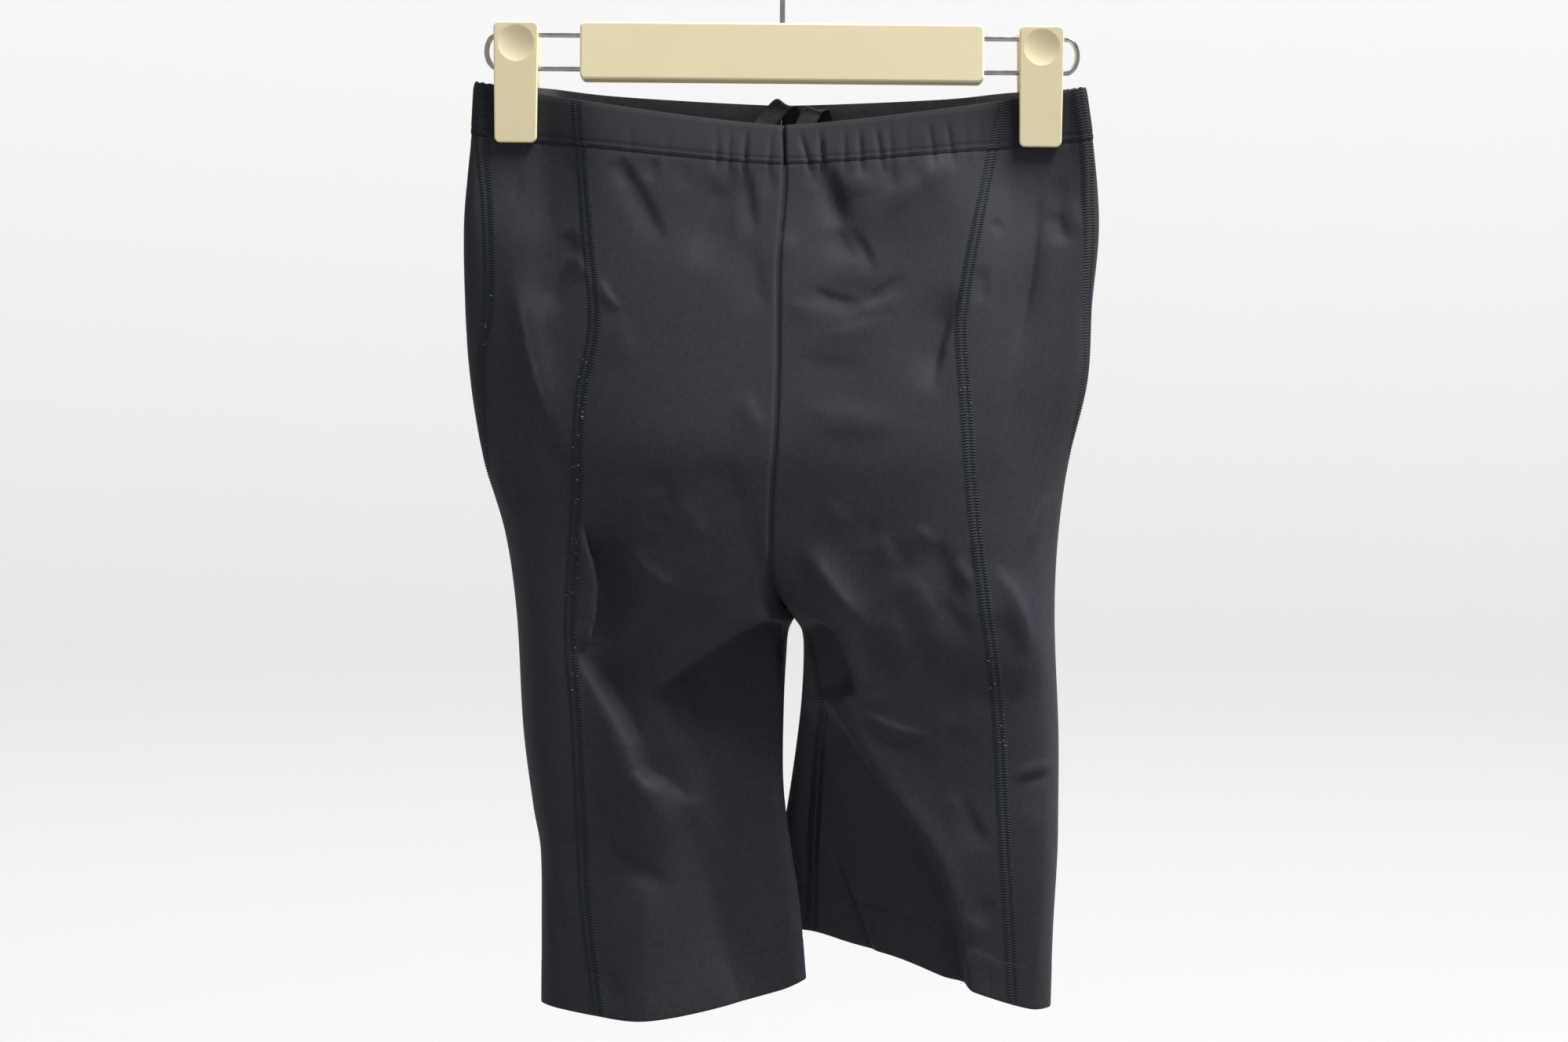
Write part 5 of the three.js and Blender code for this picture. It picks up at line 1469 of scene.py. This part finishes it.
# %% [markdown]
# ## Shared finishes
#
# Cloth, thread and plastic all vary a little from place to place, so two effects are node groups that every
# material can use with its own sizes: a soft mottle, and the fine ribs of a knitted face. A group only gives
# masks and heights. The shader itself stays in each material, where its gloss and sheen are set.


# %% Tools for node groups
def new_group(name, inputs, outputs):
    group = bpy.data.node_groups.new(name, "ShaderNodeTree")
    for socket, value in inputs.items():
        made = group.interface.new_socket(socket, in_out="INPUT", socket_type="NodeSocketFloat")
        made.default_value = value
    for socket in outputs:
        group.interface.new_socket(socket, in_out="OUTPUT", socket_type="NodeSocketFloat")
    return group, group.nodes.new("NodeGroupInput"), group.nodes.new("NodeGroupOutput")


def math_node(tree, operation, *values):
    """A Math node whose inputs are numbers or other sockets. Gives its output socket."""
    node = tree.nodes.new("ShaderNodeMath")
    node.operation = operation
    for socket, value in zip(node.inputs, values):
        if isinstance(value, (int, float)):
            socket.default_value = value
        else:
            tree.links.new(value, socket)
    return node.outputs[0]


# %% Group: soft mottle
mottle, entry, leave = new_group("Soft mottle", {"Size": 0.02, "Detail": 3.0, "Contrast": 1.0}, ["Mask"])
coordinates = mottle.nodes.new("ShaderNodeTexCoord")
noise = mottle.nodes.new("ShaderNodeTexNoise")
mottle.links.new(coordinates.outputs["Object"], noise.inputs["Vector"])
mottle.links.new(math_node(mottle, "DIVIDE", 1.0, entry.outputs["Size"]), noise.inputs["Scale"])
mottle.links.new(entry.outputs["Detail"], noise.inputs["Detail"])
centred = math_node(mottle, "SUBTRACT", noise.outputs["Fac"], 0.5)
stretched = math_node(mottle, "MULTIPLY", centred, entry.outputs["Contrast"])
clamped = math_node(mottle, "ADD", stretched, 0.5)
clamped.node.use_clamp = True
mottle.links.new(clamped, leave.inputs["Mask"])
print("group:", mottle.name)

# %% Group: knitted face
knit_face, entry, leave = new_group("Knitted face", {"Wale": 0.0006, "Course": 0.0005}, ["Height"])
coordinates = knit_face.nodes.new("ShaderNodeTexCoord")
split = knit_face.nodes.new("ShaderNodeSeparateXYZ")
knit_face.links.new(coordinates.outputs["Object"], split.inputs[0])
wales = math_node(knit_face, "DIVIDE", split.outputs["X"], entry.outputs["Wale"])
courses = math_node(knit_face, "DIVIDE", split.outputs["Z"], entry.outputs["Course"])
leg = math_node(knit_face, "PINGPONG", wales, 0.5)
row = math_node(knit_face, "MULTIPLY", math_node(knit_face, "ADD", courses, leg), 2 * math.pi)
loops = math_node(knit_face, "SINE", row)
ridge = math_node(knit_face, "SINE", math_node(knit_face, "MULTIPLY", wales, 2 * math.pi))
height = math_node(knit_face, "ADD", math_node(knit_face, "MULTIPLY", loops, 0.3), ridge)
knit_face.links.new(height, leave.inputs["Height"])
print("group:", knit_face.name)


# %% [markdown]
# ## Materials
#
# The knit is a dull charcoal with a trace of blue, a fine heathered grain and the soft edge sheen of filament
# yarn. The casing is the same cloth stretched over elastic; its outside is painted darker, as shade that
# offsets the strong light on its upturned face, and its inside, seen where the front of the waist dips, is
# painted paler, as fill light that the bar's shadow takes away. Thread is the navy of the seams, braid is
# nearly black, the mouldings are a yellowed cream, and the wire is plated.


# %% A material with mottled colour, roughness and relief
def finish(name, dark, light, rough, size, contrast, relief=None, bump=0.0, **constants):
    """dark and light are linear colours, rough the range of roughness, size the mottle's in metres."""
    material = bpy.data.materials.new(name)
    material.use_nodes = True
    tree = material.node_tree
    shader = tree.nodes["Principled BSDF"]
    for socket, value in constants.items():
        shader.inputs[socket.replace("_", " ")].default_value = value
    blotch = tree.nodes.new("ShaderNodeGroup")
    blotch.node_tree = mottle
    blotch.inputs["Size"].default_value = size
    blotch.inputs["Contrast"].default_value = contrast
    colour = tree.nodes.new("ShaderNodeMix")
    colour.data_type = "RGBA"
    colour.inputs["A"].default_value = (*dark, 1)
    colour.inputs["B"].default_value = (*light, 1)
    tree.links.new(blotch.outputs["Mask"], colour.inputs["Factor"])
    tree.links.new(colour.outputs["Result"], shader.inputs["Base Color"])
    roughness = math_node(tree, "MULTIPLY_ADD", blotch.outputs["Mask"], rough[1] - rough[0], rough[0])
    tree.links.new(roughness, shader.inputs["Roughness"])
    if relief is not None:
        raised = tree.nodes.new("ShaderNodeBump")
        raised.inputs["Distance"].default_value = bump
        raised.inputs["Strength"].default_value = 1.0
        height_from = relief(tree)
        tree.links.new(height_from, raised.inputs["Height"])
        tree.links.new(raised.outputs["Normal"], shader.inputs["Normal"])
    return material


NAP_SIZE = 0.0009
NAP_CONTRAST = 1.4
GRAIN_DETAIL = 2


def knit_relief(wale, course, fuzz):
    """Fine loops with a little fuzz over them."""
    def build(tree):
        face = tree.nodes.new("ShaderNodeGroup")
        face.node_tree = knit_face
        face.inputs["Wale"].default_value = wale
        face.inputs["Course"].default_value = course
        nap = tree.nodes.new("ShaderNodeGroup")
        nap.node_tree = mottle
        nap.inputs["Size"].default_value = NAP_SIZE
        nap.inputs["Contrast"].default_value = NAP_CONTRAST
        soft = math_node(tree, "MULTIPLY", nap.outputs["Mask"], fuzz)
        return math_node(tree, "ADD", face.outputs["Height"], soft)
    return build


def grain_relief(size):
    """An even, fine grain, as on a moulding or a thread."""
    def build(tree):
        grain = tree.nodes.new("ShaderNodeGroup")
        grain.node_tree = mottle
        grain.inputs["Size"].default_value = size
        grain.inputs["Detail"].default_value = GRAIN_DETAIL
        return grain.outputs["Mask"]
    return build


# %% The finishes of this garment and its hanger
CLOTH_GLOSS = {"Sheen_Weight": 0.04, "Sheen_Roughness": 0.4, "Specular_IOR_Level": 0.2}

materials = {
    "knit": finish(
        "charcoal knit", (0.0212, 0.0226, 0.0298), (0.0332, 0.0346, 0.0436),
        (0.64, 0.78), 0.0024, 1.8,
        knit_relief(0.00062, 0.0005, 1.5), 0.00002,
        **CLOTH_GLOSS,
    ),
    # Painted shade: the casing knit is darker than the body knit, to offset the strong key light on its
    # upturned face.
    "casing_knit": finish(
        "charcoal knit painted darker on the casing", (0.013, 0.0139, 0.0182), (0.0196, 0.0206, 0.0252),
        (0.66, 0.8), 0.0024, 1.8,
        knit_relief(0.0007, 0.0005, 1.5), 0.00002,
        **CLOTH_GLOSS,
    ),
    # Painted light: the inside of the casing is a paler knit, standing for the fill light that the bar's shadow
    # takes away.
    "casing_inside_painted_fill": finish(
        "charcoal knit painted paler inside the casing", (0.11, 0.113, 0.126), (0.145, 0.149, 0.164),
        (0.7, 0.8), 0.004, 1.8,
        knit_relief(0.0009, 0.0012, 1.0), 0.00003,
        **CLOTH_GLOSS,
    ),
    "thread": finish(
        "navy seam thread", (0.0085, 0.0115, 0.0185), (0.0165, 0.021, 0.031), (0.55, 0.75), 0.0012, 2.0,
        grain_relief(0.0003), 0.00003,
        Sheen_Weight=0.03, Sheen_Roughness=0.4, Specular_IOR_Level=0.2,
    ),
    "braid": finish(
        "dark flat braid", (0.012, 0.0125, 0.015), (0.032, 0.033, 0.037), (0.5, 0.72), 0.0016, 2.2,
        grain_relief(0.0003), 0.00004,
        Sheen_Weight=0.05, Sheen_Roughness=0.4, Specular_IOR_Level=0.3,
    ),
    "plastic": finish(
        "cream moulding", (0.93, 0.81, 0.5), (0.96, 0.86, 0.58), (0.3, 0.42), 0.03, 1.3,
        grain_relief(0.004), 0.00004,
        Specular_IOR_Level=0.5, Subsurface_Weight=0.08, Subsurface_Scale=0.004,
    ),
    "wire": finish(
        "plated wire", (0.4, 0.4, 0.42), (0.54, 0.54, 0.56), (0.14, 0.26), 0.004, 1.8,
        grain_relief(0.0012), 0.00001,
        Metallic=1.0,
    ),
    "lint": finish(
        "pale lint", (0.26, 0.26, 0.28), (0.42, 0.42, 0.44), (0.8, 0.9), 0.001, 1.0,
    ),
}
print("materials:", ", ".join(materials))

# %% [markdown]
# ## Dressing the frame
#
# Each piece now rides on the one body, says which node of the imported model it stands for and which finish it
# takes.

# %% Which finish, slot and node each piece has
WEARS = {
    "stitches": ("thread", "knit"), "lint": ("lint", "knit"), "seam": ("thread", "knit"),
    "panel": ("knit", "knit"), "hem": ("knit", "knit"), "casing": ("casing_knit", "casing_knit"),
    "braid": ("braid", "braid"), "jaw": ("plastic", "hanger_plastic"),
    "moulding": ("plastic", "hanger_plastic"), "wire": ("wire", "chrome_wire"),
}
STANDS_FOR = {
    "rail_wire": "hanger_rail", "hook_wire": "hanger_hook", "bar_moulding": "hanger_bar",
}
for half in HALF.values():
    STANDS_FOR[f"drawstring_braid_{half}"] = f"drawstring_{half}"
    for cut in CUTS:
        for kind in ("panel", "casing", "hem"):
            STANDS_FOR[f"{cut}_{kind}_cloth_{half}"] = f"{cut}_{kind}_{half}"
    for place in ("front", "rear"):
        STANDS_FOR[f"{place}_jaw_{half}"] = f"clip_{place}_jaw_{half}"

body = next(iter(frame["bodies"]))
for name, piece in pieces.items():
    kind = next(word for word in WEARS if word in name)
    look, slot_name = WEARS[kind]
    piece.data.materials.clear()
    piece.data.materials.append(materials[look])
    # The inside faces of each casing take the paler knit, which is painted light in the bar's shadow.
    if kind == "casing":
        piece.data.materials.append(materials["casing_inside_painted_fill"])
        for face in range(*inner_faces[name]):
            piece.data.polygons[face].material_index = 1
    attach(piece, body)
    if name in STANDS_FOR:
        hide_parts(STANDS_FOR[name])
print(len(pieces), "pieces ride on", body)

# %% Pieces that go with each panel, and each drawstring's record
GOES_WITH = {
    "front": ["front_side_seam", "casing_stitches", "hem_stitches"],
    "side": ["side_back_seam"],
    "back": ["inside_leg_seam"],
}
for half in HALF.values():
    for cut, extras in GOES_WITH.items():
        with_pieces = [pieces[f"{cut}_{kind}_cloth_{half}"] for kind in ("casing", "hem")]
        with_pieces += [pieces[f"{extra}_{half}"] for extra in extras]
    cord = DRAWSTRINGS[half]

# %% [markdown]
# ## Studio
#
# The garment hangs in a plain pale room: a round floor that curves up into a wall all round, far enough away
# to stay behind the object from every side. The main light is large and high up, a little in front and to the
# right, so it grazes the cloth and every fold shows. A wider, weaker light further back and a soft sky over
# the open room light the walls, and the walls send some of it on to the cloth. Real pale walls would send so
# much that the dark knit looks flat, so their paint has two tones: a pale one where the camera sees it, and a
# duller one for the light that it sends on.

# %% Room
ROOM_RADIUS = 4200
ROOM_FLOOR_Z = -1500
ROOM_TOP_Z = 3200
ROOM_COVE = 900
ROOM_SIDES = 96
COVE_STEPS = 12

profile = [(1, ROOM_FLOOR_Z), (ROOM_RADIUS - ROOM_COVE, ROOM_FLOOR_Z)]
for step in range(1, COVE_STEPS + 1):
    angle = math.pi / 2 * step / COVE_STEPS
    profile.append((
        ROOM_RADIUS - ROOM_COVE + ROOM_COVE * math.sin(angle),
        ROOM_FLOOR_Z + ROOM_COVE * (1 - math.cos(angle)),
    ))
profile.append((ROOM_RADIUS, ROOM_TOP_Z))
angles = 2 * np.pi * np.arange(ROOM_SIDES) / ROOM_SIDES
room_points = np.array([[(r * math.cos(a), r * math.sin(a), z) for a in angles] for r, z in profile])
room = make_piece("room", room_points, grid_faces(len(profile), ROOM_SIDES, wrap=True, flip=True))
SEEN_PAINT = (0.72, 0.72, 0.715)
STRAY_PAINT = (0.37, 0.37, 0.37)

paint = finish("pale wall", SEEN_PAINT, SEEN_PAINT, (0.85, 0.95), 0.8, 1.0)
tree = paint.node_tree
ray = tree.nodes.new("ShaderNodeLightPath")
tone = tree.nodes.new("ShaderNodeMix")
tone.data_type = "RGBA"
tone.inputs["A"].default_value = (*STRAY_PAINT, 1)
tone.inputs["B"].default_value = (*SEEN_PAINT, 1)
tree.links.new(ray.outputs["Is Camera Ray"], tone.inputs["Factor"])
tree.links.new(tone.outputs["Result"], tree.nodes["Principled BSDF"].inputs["Base Color"])
room.data.materials.append(paint)
room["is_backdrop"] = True
print("room radius", ROOM_RADIUS, "mm")

# %% Lights
LIGHTS = {
    "key": {"place": (1600, -640, 2900), "size": (1500, 900), "power": 275, "aim": (0, 0, -350)},
    "ceiling": {"place": (0, 1700, 3000), "size": (6000, 2600), "power": 120, "aim": (0, 1700, 0)},
}
WORLD_LIGHT = (0.95, 0.97, 1.0)
WORLD_STRENGTH = 0.4

for name, light in LIGHTS.items():
    lamp = bpy.data.lights.new(name, "AREA")
    lamp.shape = "RECTANGLE"
    lamp.size, lamp.size_y = (value * MM for value in light["size"])
    lamp.energy = light["power"]
    holder = bpy.data.objects.new(name, lamp)
    holder.location = [value * MM for value in light["place"]]
    aim = np.array(light["aim"], float) - np.array(light["place"], float)
    flat = math.hypot(aim[0], aim[1])
    holder.rotation_euler = (math.atan2(flat, -aim[2]), 0, math.atan2(-aim[0], aim[1]))
    bpy.context.scene.collection.objects.link(holder)
world = bpy.data.worlds.new("studio air")
bpy.context.scene.world = world
world.use_nodes = True
background = world.node_tree.nodes["Background"]
background.inputs["Color"].default_value = (*WORLD_LIGHT, 1)
background.inputs["Strength"].default_value = WORLD_STRENGTH
print(len(LIGHTS), "lights")

# %% [markdown]
# ## Size
#
# The finished pieces take the imported model's place, and soft cloth may stand a little proud of its box, so
# both boxes are printed side by side. The finished pieces have to stay inside the imported model's box, give
# or take what soft cloth may stand proud.

# %% Print the boxes side by side
made_box = [list(corner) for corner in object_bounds()]
for axis, low, high, made_low, made_high in zip("XYZ", *cad_box, *made_box):
    print(f"{axis}: packed {low:.4f} to {high:.4f}, made {made_low:.4f} to {made_high:.4f}")
